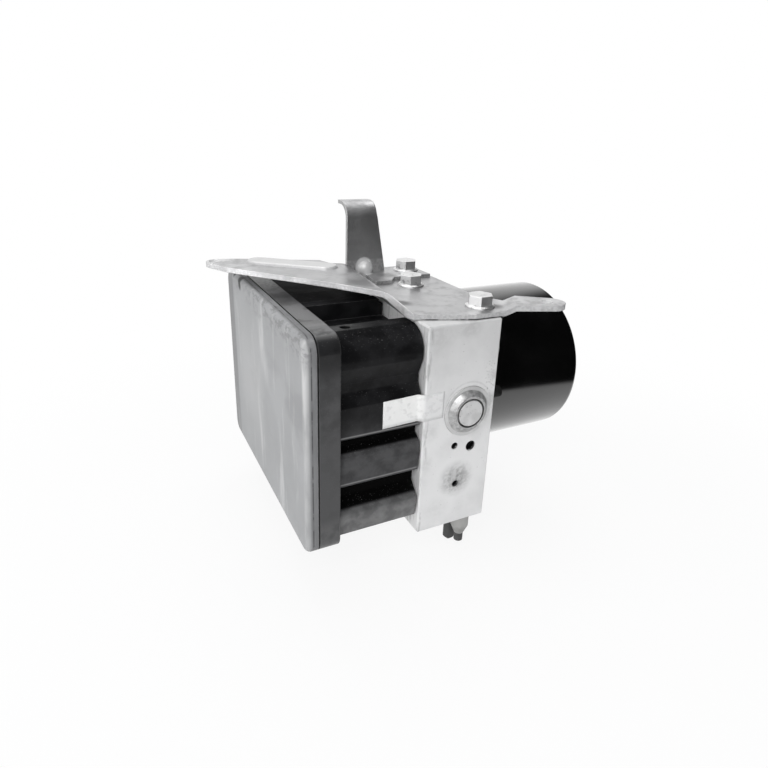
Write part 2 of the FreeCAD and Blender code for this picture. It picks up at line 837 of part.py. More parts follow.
def make_board():
    """Circuit board on the housing's inner ledge."""
    back = cover_depth + seal_thickness + board_recess - cover_front
    inset = flange_wall + board_gap
    low = (back - board_thickness, board_ledge + board_gap, ecu_bottom + inset)
    high = (back, ecu_far - inset, ecu_top - inset)
    return slab("circuit_board", low, high)


def make_connector_pins():
    """Two rows of square pins on the floor of the harness socket."""
    pins = []
    floor = shroud_reach - socket_depth
    for row in range(2):
        for column in range(8):
            y = shroud_near + pin_row_near + pin_row_pitch * row
            z = shroud_low + pin_low + pin_pitch * column
            low = (floor, y, z)
            high = (floor + pin_length, y + pin_width, z + pin_width)
            pins.append(slab("connector_pin_%d_%d" % (row, column), low, high))
    return group("connector_pins", pins)


def make_coils():
    """Steel yokes and copper windings around the valve domes."""
    yokes = []
    windings = []
    base = -gasket_thickness - housing_floor
    for i, (y, z) in enumerate(valve_spots()):
        inner = coil_radius - yoke_wall
        start = base - coil_height
        yokes.append(tube("yoke_%d" % i, inner, coil_radius, coil_height, start, y, z, "x"))
        hole = dome_radius + coil_gap
        wound = tube("winding_%d" % i, hole, inner - coil_gap, coil_height - 2, start + 1, y, z, "x")
        windings.append(wound)
    return [group("coil_yokes", yokes), group("coil_windings", windings)]


def make_gasket():
    """Gasket between housing and block around the valve field."""
    body = body_at("housing_seal", facing="x")
    sketch = new_sketch(body, "gasket_plan", -gasket_thickness)
    box_outline(sketch, (cavity_near - 2, cavity_low - 1.5), (cavity_far + 1, cavity_high + 1.5))
    box_outline(sketch, (cavity_near, cavity_low), (cavity_far - 1, cavity_high))
    pad(body, sketch, gasket_thickness)
    return body


def make_ecu_screws():
    """Screws that hold the control unit to the block."""
    screws = []
    seat = -gasket_thickness - housing_floor
    for i, (y, z) in enumerate(ecu_screw_spots()):
        profile = [
            (ZERO, seat - screw_head_height),
            (ecu_screw_head, seat - screw_head_height),
            (ecu_screw_head, seat),
            (ecu_screw, seat),
            (ecu_screw, ecu_screw_depth),
            (ZERO, ecu_screw_depth),
        ]
        screws.append(turned("ecu_screw_%d" % i, profile, 0, y, z, "x"))
    return group("ecu_screws", screws)


def valve_cartridge(name, y, z):
    """Fixed sleeve of one valve: seat body in the block and dome in the coil."""
    bore = plunger_radius + running_gap
    room_end = plunger_length + plunger_travel + end_gap - dome_reach + 2
    profile = [
        (ZERO, -dome_reach),
        (dome_radius, -dome_reach),
        (dome_radius, end_gap),
        (valve_radius, end_gap),
        (valve_radius, valve_depth),
        (orifice_radius, valve_depth),
        (orifice_radius, room_end),
        (bore, room_end),
        (bore, 2 - dome_reach - end_gap),
        (ZERO, 2 - dome_reach - end_gap),
    ]
    return turned(name, profile, 0, y, z, "x")


def make_valves():
    """Cartridges of both rows and their eight plungers."""
    nodes = []
    for row_name, row_z, shift in (("outlet", outlet_row, plunger_travel), ("inlet", inlet_row, ZERO)):
        cartridges = []
        for i in range(4):
            y = valve_first + valve_pitch * i
            cartridges.append(valve_cartridge("%s_cartridge_%d" % (row_name, i + 1), y, row_z))
            start = 2 - dome_reach + shift
            name = "%s_plunger_%d" % (row_name, i + 1)
            nodes.append(rod(name, plunger_radius, plunger_length, start, y, row_z, "x"))
        nodes.append(group(row_name + "_valves", cartridges))
    return nodes


def block_bores():
    """Every bore of the valve block as a cutter."""
    tools = []
    for i, (y, z) in enumerate(valve_spots()):
        radius = valve_radius + running_gap
        tools.append(rod("valve_bore_%d" % i, radius, valve_depth, 0, y, z, "x"))
        feed = block_depth - 4
        tools.append(rod("valve_feed_%d" % i, orifice_radius, feed, 0, y, z, "x"))
    for i, (y, z) in enumerate(ecu_screw_spots()):
        radius = ecu_screw + running_gap
        tools.append(rod("ecu_screw_bore_%d" % i, radius, ecu_screw_depth, 0, y, z, "x"))
    room = block_depth - chamber_end
    tools.append(rod("chamber", chamber_radius, room, chamber_end, axis_y, axis_z, "x"))
    tools.append(rod("pump_cross_bore", pump_bore, block_width, pump_x, 0, axis_z, "y"))
    recess = plug_radius + running_gap
    tools.append(rod("near_plug_seat", recess, plug_depth, pump_x, 0, axis_z, "y"))
    tools.append(rod("far_plug_seat", recess, plug_depth, pump_x, block_width - plug_depth, axis_z, "y"))
    for name, y in (("near_store", store_near), ("far_store", store_far)):
        floor = block_height - store_depth
        tools.append(rod(name, store_radius, store_depth, store_x, y, floor))
    for i in range(4):
        y = port_first + port_pitch * i
        depth = port_depth + port_step * i
        tools.append(rod("wheel_port_%d" % i, port_radius, depth, port_x, y, 0))
    for name, z in (("supply_low_port", supply_low), ("supply_high_port", supply_high)):
        tools.append(rod(name, supply_radius, supply_depth, port_x, block_width - supply_depth, z, "y"))
    for i, (x, z, radius) in enumerate(drill_spots()):
        tools.append(rod("drilling_%d" % i, radius, drill_depth, x, 0, z, "y"))
    for name, x, y, seat in bolt_spots():
        depth = bolt_depth + 2
        tools.append(rod(name + "_bore", bolt_radius + running_gap, depth, x, y, block_height - depth))
    for i, (y, z) in enumerate(ear_spots()):
        start = block_depth - motor_screw_depth
        radius = motor_screw + running_gap
        tools.append(rod("motor_screw_bore_%d" % i, radius, motor_screw_depth, start, y, z, "x"))
    tools.append(rod("contact_way", contact_bore, block_depth, 0, axis_y, contact_z, "x"))
    tools.append(rod("peg_seat", peg_root + running_gap, peg_root_depth, peg_x, peg_y, 0))
    tools.append(rod("cap_seat", cap_root + running_gap, cap_root_depth, cap_x, cap_y, 0))
    return tools


def make_block():
    """Aluminium valve block with chamfered edges and all its bores."""
    blank = slab("block_blank", (0, 0, 0), (block_depth, block_width, block_height))
    doc.recompute()
    bevelled = named("Part::Chamfer", "block_bevelled")
    bevelled.Base = blank
    bevel = block_chamfer.value
    bevelled.Edges = [(i + 1, bevel, bevel) for i in range(len(blank.Shape.Edges))]
    return cut("valve_block", bevelled, block_bores())


def make_pump_plug(name, y, facing):
    """Closing plug of the pump bore: staked ring, cone, lip, groove and disc."""
    profile = [
        (ZERO, -plug_depth),
        (plug_foot, -plug_depth),
        (plug_foot, -plug_depth / 2),
        (plug_radius, -plug_depth / 2),
        (plug_radius, plug_step),
        (plug_foot, plug_step),
        (plug_lip, plug_rise),
        (plug_disc + plug_groove, plug_rise),
        (plug_disc + plug_groove, plug_rise - plug_groove_depth),
        (plug_disc, plug_rise - plug_groove_depth),
        (plug_disc, plug_rise),
        (ZERO, plug_rise),
    ]
    return turned(name, profile, pump_x, y, axis_z, facing)


def make_pump_side(side, y, facing):
    """Cylinder, piston and return spring of one pump element."""
    inner = piston_radius + running_gap
    length = axis_y - cylinder_gap - cylinder_start
    sign = 1 if facing == "y" else -1
    start = y + cylinder_start * sign
    outer = pump_bore - running_gap
    cylinder = tube("pump_cylinder_" + side, inner, outer, length, pump_x, start, axis_z, facing)
    length = axis_y - ring_radius - eccentric_offset - end_gap - piston_start
    at = y + piston_start * sign
    piston = rod("pump_piston_" + side, piston_radius, length, pump_x, at, axis_z, facing)
    gap = spring_wire + end_gap
    length = piston_start - plug_depth - end_gap * 2 - pump_travel
    at = y + (plug_depth + gap) * sign
    wound = spring("piston_spring_" + side, pump_spring_radius, spring_wire, pump_spring_turns, length,
                   pump_x, at, axis_z, facing)
    return [cylinder, piston, wound]


def make_store(side, y):
    """Piston, spring and cap of one low-pressure accumulator."""
    floor = block_height - store_depth + end_gap
    radius = store_radius - running_gap
    inner = radius - store_piston_wall
    cup = [
        (ZERO, ZERO),
        (radius, ZERO),
        (radius, store_piston),
        (inner, store_piston),
        (inner, store_piston_floor),
        (ZERO, store_piston_floor),
    ]
    piston = turned("accumulator_piston_" + side, cup, store_x, y, floor)
    cap = rod("accumulator_cap_" + side, radius, store_cap, store_x, y, block_height - store_cap)
    seat = floor + store_piston_floor + end_gap + store_wire
    length = block_height - store_cap - end_gap - seat + store_wire
    wound = spring("accumulator_spring_" + side, store_spring_radius, store_wire, store_spring_turns,
                   length, store_x, y, seat)
    return [piston, cap, wound]


def drill_spots():
    """X, Z and radius of the cross drillings on the near side."""
    return [(drill_a_x, drill_a_z, small_drill), (drill_b_x, drill_b_z, large_drill),
            (drill_c_x, drill_c_z, small_drill)]


def make_drill_plugs():
    """Balls that close the cross drillings."""
    balls = []
    for i, (x, z, radius) in enumerate(drill_spots()):
        ball = named("Part::Sphere", "drill_ball_%d" % i)
        bind(ball, "Radius", radius - running_gap)
        place(ball, x, ball_sink, z)
        balls.append(ball)
    return group("drill_plugs", balls)


def make_pieces_below():
    """Tapered peg with its sleeve, and the rubber cap beside it."""
    low = peg_straight + peg_taper
    peg = turned("location_peg", [
        (ZERO, -peg_end),
        (peg_pin, -peg_end),
        (peg_pin, -low),
        (peg_neck, -low),
        (peg_radius, -peg_straight),
        (peg_radius, ZERO),
        (peg_root, ZERO),
        (peg_root, peg_root_depth - end_gap),
        (ZERO, peg_root_depth - end_gap),
    ], peg_x, peg_y, 0)
    drop = peg_end - low
    sleeve = tube("peg_sleeve", peg_pin + running_gap, sleeve_radius, drop, peg_x, peg_y, -peg_end)
    cap = turned("port_cap", [
        (ZERO, -cap_drop),
        (cap_radius - cap_nose, -cap_drop),
        (cap_radius, cap_nose - cap_drop),
        (cap_radius, ZERO),
        (cap_root, ZERO),
        (cap_root, cap_root_depth - end_gap),
        (ZERO, cap_root_depth - end_gap),
    ], cap_x, cap_y, 0)
    return [peg, sleeve, cap]


def ear_spots():
    """Y and Z of the motor's four fixing screws."""
    low_far = axis_y * 2 - ear_low_near
    high_far = axis_y * 2 - ear_high_near
    low = [(ear_low_near, ear_low_z), (low_far, ear_low_z)]
    return low + [(high_far, ear_high_z), (ear_high_near, ear_high_z)]


def make_can():
    """Deep-drawn motor can with rounded end and bearing cup."""
    start = block_depth + shield_thickness
    inner_end = can_end - can_wall
    cup_end = can_end + cup_reach
    body = body_at("motor_can", 0, axis_y, axis_z, "x")
    sketch = new_sketch(body, "can_section", role="XZ_Plane")
    outline(sketch, [
        (can_radius - can_wall, start),
        (can_radius, start),
        (can_radius, can_end),
        (cup_radius, can_end),
        (cup_radius, cup_end),
        (ZERO, cup_end),
        (ZERO, cup_end - can_wall),
        (cup_bore, cup_end - can_wall),
        (cup_bore, inner_end),
        (can_radius - can_wall, inner_end),
    ])
    shell = turn(body, sketch)

    def rim(edge):
        if edge.Curve.TypeId != "Part::GeomCircle":
            return False
        spot = edge.Vertexes[0].Point
        at_end = abs(spot.z - can_end.value) < 1e-6
        return at_end and abs(edge.Curve.Radius - can_radius.value) < 1e-6

    round_edges(body, shell, "can_rim", can_round, rim)
    return body


def make_shield():
    """Motor end shield with bearing collar, seal groove and four ears."""
    start = block_depth
    disc = rod("shield_disc", can_radius, shield_thickness, start, axis_y, axis_z, "x")
    reach = block_depth - collar_reach
    collar = rod("shield_collar", collar_radius, collar_reach, reach, axis_y, axis_z, "x")
    pieces = [disc, collar]
    spots = ear_spots()
    body = body_at("shield_plate", block_depth, 0, 0, "x")
    sketch = new_sketch(body, "shield_plan")
    outline(sketch, spots)
    pad(body, sketch, shield_thickness)
    pieces.append(body)
    for i, (y, z) in enumerate(spots):
        pieces.append(rod("shield_ear_%d" % i, ear_radius, shield_thickness, start, y, z, "x"))
    pieces.append(rod("shield_lug", lug_radius, lug_thickness, start, lug_y, lug_z, "x"))
    pieces.append(slab("shield_arm", (start, lug_y, lug_z - lug_radius),
                       (start + shield_thickness, ear_low_near, lug_z + lug_radius)))
    depth = collar_reach + shield_thickness
    tools = [rod("shield_bore", collar_bore, depth, reach, axis_y, axis_z, "x")]
    seal_outer = seal_inner + motor_seal_width
    groove = tube("seal_groove", seal_inner, seal_outer, motor_seal_depth, start, axis_y, axis_z, "x")
    tools.append(groove)
    for i, (y, z) in enumerate(spots):
        hole = motor_screw + end_gap
        tools.append(rod("shield_hole_%d" % i, hole, shield_thickness, start, y, z, "x"))
    tools.append(rod("shield_contact", contact_bore, shield_thickness, start, axis_y, contact_z, "x"))
    return cut("motor_flange", fused("shield_blank", pieces), tools)


def make_motor_fixings():
    """Seal ring, screws and the contact pin through the block."""
    gap = end_gap / 2
    inner = seal_inner + gap
    outer = seal_inner + motor_seal_width - gap
    depth = motor_seal_depth - gap
    seal = tube("motor_seal", inner, outer, depth, block_depth, axis_y, axis_z, "x")
    seat = block_depth + shield_thickness
    screws = []
    for i, (y, z) in enumerate(ear_spots()):
        profile = [
            (ZERO, block_depth + 0.5 - motor_screw_depth),
            (motor_screw, block_depth + 0.5 - motor_screw_depth),
            (motor_screw, seat),
            (motor_screw_head, seat),
            (motor_screw_head, seat + screw_head_height),
            (ZERO, seat + screw_head_height),
        ]
        screws.append(turned("motor_screw_%d" % i, profile, 0, y, z, "x"))
    length = contact_reach + holder_start
    pin = rod("contact_pin", contact_radius, length, -contact_reach, axis_y, contact_z, "x")
    return [seal, group("motor_screws", screws), pin]


def make_rotor():
    """Shaft with eccentric, bearing ring, commutator, core and windings."""
    shaft_end = can_end + cup_reach - can_wall - end_gap
    shaft = rod("shaft_bar", shaft_radius, shaft_end - shaft_start, shaft_start, axis_y, axis_z, "x")
    start = pump_x - eccentric_width / 2
    high = axis_z + eccentric_offset
    lobe = rod("eccentric", eccentric_radius, eccentric_width, start, axis_y, high, "x")
    nodes = [fused("motor_shaft", [shaft, lobe])]
    inner = eccentric_radius + running_gap
    nodes.append(tube("eccentric_bearing", inner, ring_radius, eccentric_width, start, axis_y, high, "x"))
    hub = shaft_radius + running_gap
    bars = holder_start + holder_thickness
    spot = (axis_y, axis_z, "x")
    nodes.append(tube("commutator", hub, commutator_radius, commutator_length, bars, *spot))
    nodes.append(tube("armature_core", hub, core_radius, core_length, core_start, *spot))
    ends = []
    for i, x in enumerate((core_start - winding_depth, core_start + core_length)):
        name = "winding_end_%d" % i
        ends.append(tube(name, winding_inner, winding_outer, winding_depth, x, axis_y, axis_z, "x"))
    nodes.append(group("armature_windings", ends))
    return nodes


def make_motor_inside():
    """Magnets, bearings, brush holder and brushes, all fixed to the can."""
    magnets = []
    outer = can_radius - can_wall - running_gap
    inner = outer - magnet_thickness
    length = core_length + magnet_extra * 2
    start = core_start - magnet_extra
    for i, middle in enumerate((RIGHT_ANGLE, -RIGHT_ANGLE)):
        body = body_at("magnet_%d" % i, 0, axis_y, axis_z, "x")
        sketch = new_sketch(body, "magnet_section_%d" % i, role="XZ_Plane")
        box_outline(sketch, (inner, start), (outer, start + length))
        arc = turn(body, sketch, magnet_span)
        arc.Midplane = True
        about = App.Rotation(App.Vector(0, 0, 1), middle - RIGHT_ANGLE)
        body.Placement.Rotation = TURNS["x"].multiply(about)
        magnets.append(body)
    nodes = [group("motor_magnets", magnets)]
    hub = shaft_radius + running_gap
    front = block_depth - collar_reach + end_gap
    spot = (axis_y, axis_z, "x")
    outer = collar_bore - running_gap
    nodes.append(tube("front_bearing", hub, outer, bearing_width, front, *spot))
    rear = can_end + cup_reach - can_wall - end_gap - rear_bearing_width
    outer = cup_bore - running_gap
    nodes.append(tube("rear_bearing", hub, outer, rear_bearing_width, rear, *spot))
    inner = holder_inner
    nodes.append(tube("brush_holder", inner, holder_outer, holder_thickness, holder_start, *spot))
    brushes = []
    face = holder_start + holder_thickness
    reach = commutator_radius + end_gap
    for i, low in enumerate((axis_y + reach, axis_y - reach - brush_length)):
        near = (face, low, axis_z - brush_width / 2)
        far = (face + brush_height, low + brush_length, axis_z + brush_width / 2)
        brushes.append(slab("brush_%d" % i, near, far))
    nodes.append(group("carbon_brushes", brushes))
    return nodes


def wing_section():
    """Section of wing, web and plate across their folds, as X and Z pairs."""
    low = block_height
    high = block_height + sheet_thickness
    foot = crease_x + web_run
    left = wing_tip_x * 2
    shift = sheet_thickness * 0.4
    return [
        (left, low + wing_rise),
        (crease_x - shift, low + wing_rise),
        (foot - shift, low),
        (plate_right * 2, low),
        (plate_right * 2, high),
        (foot + shift, high),
        (crease_x, high + wing_rise),
        (left, high + wing_rise),
    ]


def arm_section():
    """Section of plate, joggle and arm across their folds, as X and Z pairs."""
    low = block_height
    high = block_height + sheet_thickness
    rise_end = arm_fold_start + arm_fold_run
    reach = arm_tip_x * 2
    shift = sheet_thickness * 0.2
    return [
        (ZERO, low),
        (arm_fold_start + shift, low),
        (rise_end + shift, low + arm_rise),
        (reach, low + arm_rise),
        (reach, high + arm_rise),
        (rise_end, high + arm_rise),
        (arm_fold_start, high),
        (ZERO, high),
    ]


def wing_plan():
    """Plan of wing and plate, as X and Y pairs."""
    step = tab_near - 1.4
    return [
        (wing_tip_x - 4.5, wing_tip_y - 2.2),
        (wing_tip_x + 2, wing_tip_y - 15.5),
        (wing_near_a_x, wing_near_a_y),
        (wing_near_b_x, wing_near_b_y),
        (wing_near_c_x, wing_near_c_y),
        (wing_near_d_x, wing_near_d_y),
        (wing_near_e_x, wing_near_e_y),
        (wing_near_f_x, wing_near_f_y),
        (wing_near_g_x, wing_near_g_y),
        (front_corner_x, plate_near),
        (front_tip_x, plate_near - 0.3),
        (arm_root_x, arm_root_y),
        (plate_right, plate_right_near),
        (plate_right, plate_right_far),
        (plate_right - 3, plate_far),
        (plate_left_far, plate_far),
        (plate_left_near, step),
        (tab_gap_x, step),
        (wing_far_a_x, wing_far_a_y),
        (wing_far_b_x, wing_far_b_y),
        (wing_far_c_x, wing_far_c_y),
        (wing_far_d_x, wing_far_d_y),
        (wing_far_e_x, wing_far_e_y),
        (wing_tip_x + 0.8, wing_tip_y + wing_tip_radius),
    ]


def arm_plan():
    """Plan of the arm with its root inside the plate, as X and Y pairs."""
    return [
        (arm_inner_x, arm_inner_y),
        (front_tip_x, plate_near - 0.3),
        (arm_waist_x, arm_waist_y),
        (arm_tip_x - 1.6, arm_tip_y - arm_tip_radius + 0.2),
        (arm_tip_x + 3.9, arm_tip_y + 5.2),
        (arm_side_x, arm_side_y),
        (arm_root_x, arm_root_y),
        (arm_back_x, arm_root_y),
    ]


def round_folds(body, sweep, name, section, bends):
    """Round the folds: bends gives the outer and the inner corners of the section."""
    feature = sweep
    outer, inner = bends
    for side, corners, radius in (("outer", outer, fold_radius + sheet_thickness), ("inner", inner, fold_radius)):
        spots = [section[number] for number in corners]

        def at_fold(edge):
            here = edge.Vertexes[0].Point
            if not runs_along(edge, 1):
                return False
            return any(abs(here.x - as_dim(x).value) + abs(here.z - as_dim(z).value) < 1e-6 for x, z in spots)

        feature = round_edges(body, feature, "%s_%s_bends" % (name, side), radius, at_fold)


def folded_sheet(name, section, skew, plan, rounded, bends=()):
    """Sheet section run along its folds and trimmed to a plan with a round tip."""
    sheet_body = body_at(name + "_fold", 0, fold_y)
    turning = App.Rotation(App.Vector(0, 0, 1), -skew.value)
    sheet_body.Placement.Rotation = turning
    sheet_body.setExpression("Placement.Rotation.Angle", skew.text)
    sheet_body.setExpression("Placement.Rotation.Axis.z", "-1")
    drawn = new_sketch(sheet_body, name + "_section", role="XZ_Plane")
    outline(drawn, section)
    sweep = pad(sheet_body, drawn, ecu_far * 3)
    sweep.Midplane = True
    if len(bends) > 0:
        round_folds(sheet_body, sweep, name, section, bends)
    height = wing_rise + sheet_thickness + 10
    trim = body_at(name + "_trim")
    flat = new_sketch(trim, name + "_plan", block_height - 5)
    outline(flat, plan)
    pad(trim, flat, height)
    tip_x, tip_y, radius = rounded
    tip = rod(name + "_tip", radius, height, tip_x, tip_y, block_height - 5)
    shaped = named("Part::Common", name + "_sheet")
    shaped.Base = sheet_body
    shaped.Tool = fused(name + "_outline", [trim, tip])
    return shaped


def make_bracket():
    """Folded bracket: wing, web and plate, joggled arm, bead and holes."""
    wing = folded_sheet("wing", wing_section(), fold_skew, wing_plan(),
                        (wing_tip_x, wing_tip_y, wing_tip_radius), ((2, 6), (1, 5)))
    arm = folded_sheet("arm", arm_section(), arm_skew, arm_plan(),
                       (arm_tip_x, arm_tip_y, arm_tip_radius))
    top = block_height + sheet_thickness + wing_rise
    rib = bead("bead_form", top, bead_radius, bead_height)
    under = bead("bead_hollow", top - sheet_thickness, bead_radius - 1.4, bead_height)
    tools = [under]
    for name, x, y in (("wing_hole", wing_hole_x, wing_hole_y), ("arm_hole", arm_hole_x, arm_hole_y)):
        tools.append(rod(name, fixing_hole, wing_rise * 3, x, y, block_height - 2))
    for name, x, y, seat in bolt_spots():
        tools.append(rod(name + "_hole", bolt_radius + end_gap, sheet_thickness * 2, x, y, block_height - 1))
    blank = fused("bracket_blank", [wing, arm, rib])
    blank.Refine = True
    return cut("bracket_plate", blank, tools)


def bead(name, level, radius, height):
    """Tapered oblong form of the wing's bead."""
    body = body_at(name)
    sketch = new_sketch(body, name + "_plan", level)
    near_end = App.Vector(bead_near_x.value, bead_near_y.value, 0)
    far_end = App.Vector(bead_far_x.value, bead_far_y.value, 0)
    ends = [near_end, far_end]
    along = (ends[1] - ends[0]).normalize()
    side = App.Vector(-along.y, along.x, 0) * radius.value
    up = App.Vector(0, 0, 1)
    sketch.addGeometry(Part.LineSegment(ends[0] - side, ends[1] - side), False)
    sketch.addGeometry(Part.LineSegment(ends[1] + side, ends[0] + side), False)
    for end, outer in ((ends[1], along), (ends[0], -along)):
        flank = side if end == ends[1] else -side
        arc = Part.Arc(end - flank, end + outer * radius.value, end + flank)
        sketch.addGeometry(arc, False)
    for pair in ((0, 2, 2, 1), (2, 2, 1, 1), (1, 2, 3, 1), (3, 2, 0, 1)):
        sketch.addConstraint(Sketcher.Constraint("Tangent", *pair))
    tie(sketch, 2, 3, bead_far_x, bead_far_y)
    tie(sketch, 3, 3, bead_near_x, bead_near_y)
    for arc in (2, 3):
        rule = sketch.addConstraint(Sketcher.Constraint("Radius", arc, radius.value))
        sketch.setExpression("Constraints[%d]" % rule, radius.text)
    raised = pad(body, sketch, height)
    raised.TaperAngle = -40
    return body


def make_tab():
    """Upright tab: foot on the plate, bent-back lip, narrowing sides and gusset."""
    base = block_height + sheet_thickness
    top = base + tab_sheet
    foot = body_at("tab_foot")
    plan = new_sketch(foot, "foot_plan", base)
    outline(plan, [
        (foot_front_left, foot_front),
        (foot_front_right, foot_front),
        (foot_step_right, foot_near),
        (foot_right, foot_near),
        (foot_right - 1, foot_far),
        (tab_right + 3, foot_far),
        (tab_right, tab_near + tab_sheet),
        (tab_left + 4, tab_near + tab_sheet),
        (tab_left + 4, tab_near - 0.6),
        (foot_left, tab_near - 0.6),
    ])
    pad(foot, plan, tab_sheet)
    upright = body_at("tab_upright", 0, 0, 0)
    side = new_sketch(upright, "tab_section", tab_left, role="YZ_Plane")
    bend = tab_bend
    inner = tab_bend - tab_sheet
    centre_y = tab_near + bend
    centre_z = tab_top - bend
    lip = centre_y + tab_lip
    bent_outline(side, base, centre_y, centre_z, bend, inner, lip)
    pad(upright, side, tab_right - tab_left)
    trim = body_at("tab_trim")
    face = new_sketch(trim, "tab_face", -tab_near + 5, role="XZ_Plane")
    outline(face, [
        (tab_left, base),
        (tab_right + 0.6, base),
        (tab_right - 0.3, top + 3),
        (tab_right - tab_narrowing, tab_top - 6),
        (tab_right - tab_narrowing, tab_top + 1),
        (tab_left, tab_top + 1),
    ])
    slab_pad = pad(trim, face, as_dim(40))
    slab_pad.Reversed = True
    shaped = named("Part::Common", "tab_shaped")
    shaped.Base = upright
    shaped.Tool = trim
    press = named("Part::Sphere", "gusset")
    bind(press, "Radius", gusset_radius)
    place(press, gusset_x, tab_near + tab_sheet / 2, top + gusset_lift)
    level = base + tab_sheet / 2
    behind = slab("gusset_behind", (tab_left, tab_near + tab_sheet / 2, base - gusset_radius),
                  (tab_right, tab_near + gusset_radius * 3, top + gusset_radius * 3))
    below = slab("gusset_below", (tab_left, tab_near - gusset_radius * 3, base - gusset_radius),
                 (tab_right, tab_near + gusset_radius * 3, level))
    shown = cut("gusset_front", press, [behind, below])
    radius = bolt_radius + end_gap
    hole = rod("tab_bolt_hole", radius, sheet_thickness * 2, rear_bolt_x, rear_bolt_y, base - 1)
    return cut("bracket_tab", fused("tab_blank", [foot, shaped, shown]), [hole])


def bent_outline(sketch, base, centre_y, centre_z, outer, inner, lip):
    """Draw the upright's section: straight up, then bent back to the lip."""
    y0 = centre_y - outer
    y1 = centre_y - inner
    z0 = centre_z + outer
    z1 = centre_z + inner
    lines = [((y0, centre_z), (y0, base)), ((y0, base), (y1, base)), ((y1, base), (y1, centre_z)),
             ((centre_y, z1), (lip, z1)), ((lip, z1), (lip, z0)), ((lip, z0), (centre_y, z0))]
    for start, end in lines:
        a = App.Vector(start[0].value, start[1].value, 0)
        b = App.Vector(end[0].value, end[1].value, 0)
        sketch.addGeometry(Part.LineSegment(a, b), False)
    middle = App.Vector(centre_y.value, centre_z.value, 0)
    quarter = math.pi / 2
    for radius in (inner.value, outer.value):
        circle = Part.Circle(middle, App.Vector(0, 0, 1), radius)
        sketch.addGeometry(Part.ArcOfCircle(circle, quarter, quarter * 2), False)
    for i, (start, end) in enumerate(lines):
        tie(sketch, i, 1, *start)
        tie(sketch, i, 2, *end)
    for arc, side_line, side_end, crown_line, crown_end in ((6, 2, 2, 3, 1), (7, 0, 1, 5, 2)):
        sketch.addConstraint(Sketcher.Constraint("Coincident", arc, 1, crown_line, crown_end))
        sketch.addConstraint(Sketcher.Constraint("Coincident", arc, 2, side_line, side_end))
        rule = Sketcher.Constraint("DistanceX", -1, 1, arc, 3, centre_y.value)
        level = sketch.addConstraint(rule)
        sketch.setExpression("Constraints[%d]" % level, centre_y.text)


def bolt_spots():
    """Name, X, Y and seat height of the three bracket bolts."""
    plate = block_height + sheet_thickness
    return [("front_bolt", front_bolt_x, front_bolt_y, plate),
            ("middle_bolt", middle_bolt_x, middle_bolt_y, plate),
            ("rear_bolt", rear_bolt_x, rear_bolt_y, plate + tab_sheet)]


def make_bolts():
    """Hexagon flange bolts that hold the bracket."""
    bolts = []
    for name, x, y, seat in bolt_spots():
        hexagon = named("Part::Prism", name + "_hexagon")
        hexagon.Polygon = 6
        bind(hexagon, "Circumradius", bolt_flats / 3 ** 0.5)
        bind(hexagon, "Height", bolt_head + bolt_flange_height)
        place(hexagon, x, y, seat)
        foot = turned(name + "_flange", [
            (ZERO, ZERO),
            (bolt_flange, ZERO),
            (bolt_flange, bolt_flange_height / 2),
            (bolt_flange - 1, bolt_flange_height),
            (ZERO, bolt_flange_height),
        ], x, y, seat)
        low = block_height - bolt_depth
        shank = rod(name + "_shank", bolt_radius, seat - low, x, y, low)
        bolts.append(fused(name, [hexagon, foot, shank]))
    return group("bracket_bolts", bolts)


def build():
    """Make every node in order."""
    nodes = [make_cover(), make_cover_seal(), make_housing(), make_board(), make_connector_pins()]
    nodes += make_coils()
    nodes += [make_gasket(), make_ecu_screws()]
    nodes += make_valves()
    nodes.append(make_block())
    nodes.append(make_pump_plug("pump_plug_near", 0, "-y"))
    nodes.append(make_pump_plug("pump_plug_far", block_width, "y"))
    nodes += make_pump_side("near", ZERO, "y")
    nodes += make_pump_side("far", block_width, "-y")
    nodes += make_store("near", store_near)
    nodes += make_store("far", store_far)
    nodes.append(make_drill_plugs())
    nodes += make_pieces_below()
    nodes += [make_can(), make_shield()]
    nodes += make_motor_fixings()
    nodes += make_rotor()
    nodes += make_motor_inside()
    nodes += [make_bracket(), make_tab(), make_bolts()]
    return nodes


def check(nodes):
    """Stop if an object failed or a node's shape is not sound."""
    for thing in doc.Objects:
        if "Invalid" in thing.State or "Error" in thing.State:
            raise RuntimeError("object failed: " + thing.Label)
    for node in nodes:
        if node.Shape.isNull() or not node.Shape.isValid() or not node.Shape.Solids:
            raise RuntimeError("shape not sound: " + node.Label)


def write(nodes):
    """Write one file per node."""
    os.makedirs("parts", exist_ok=True)
    for node in nodes:
        node.Shape.exportStep("parts/" + node.Label + ".step")


made = build()
doc.recompute()
check(made)
write(made)
print("%d nodes written" % len(made))
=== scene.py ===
"""Looks of the anti-lock brake module: finishes, label, springs, light and camera."""

import json
import logging
import math
from dataclasses import dataclass
from enum import Enum
from typing import Sequence

import bmesh
import bpy
from mathutils import Matrix, Vector


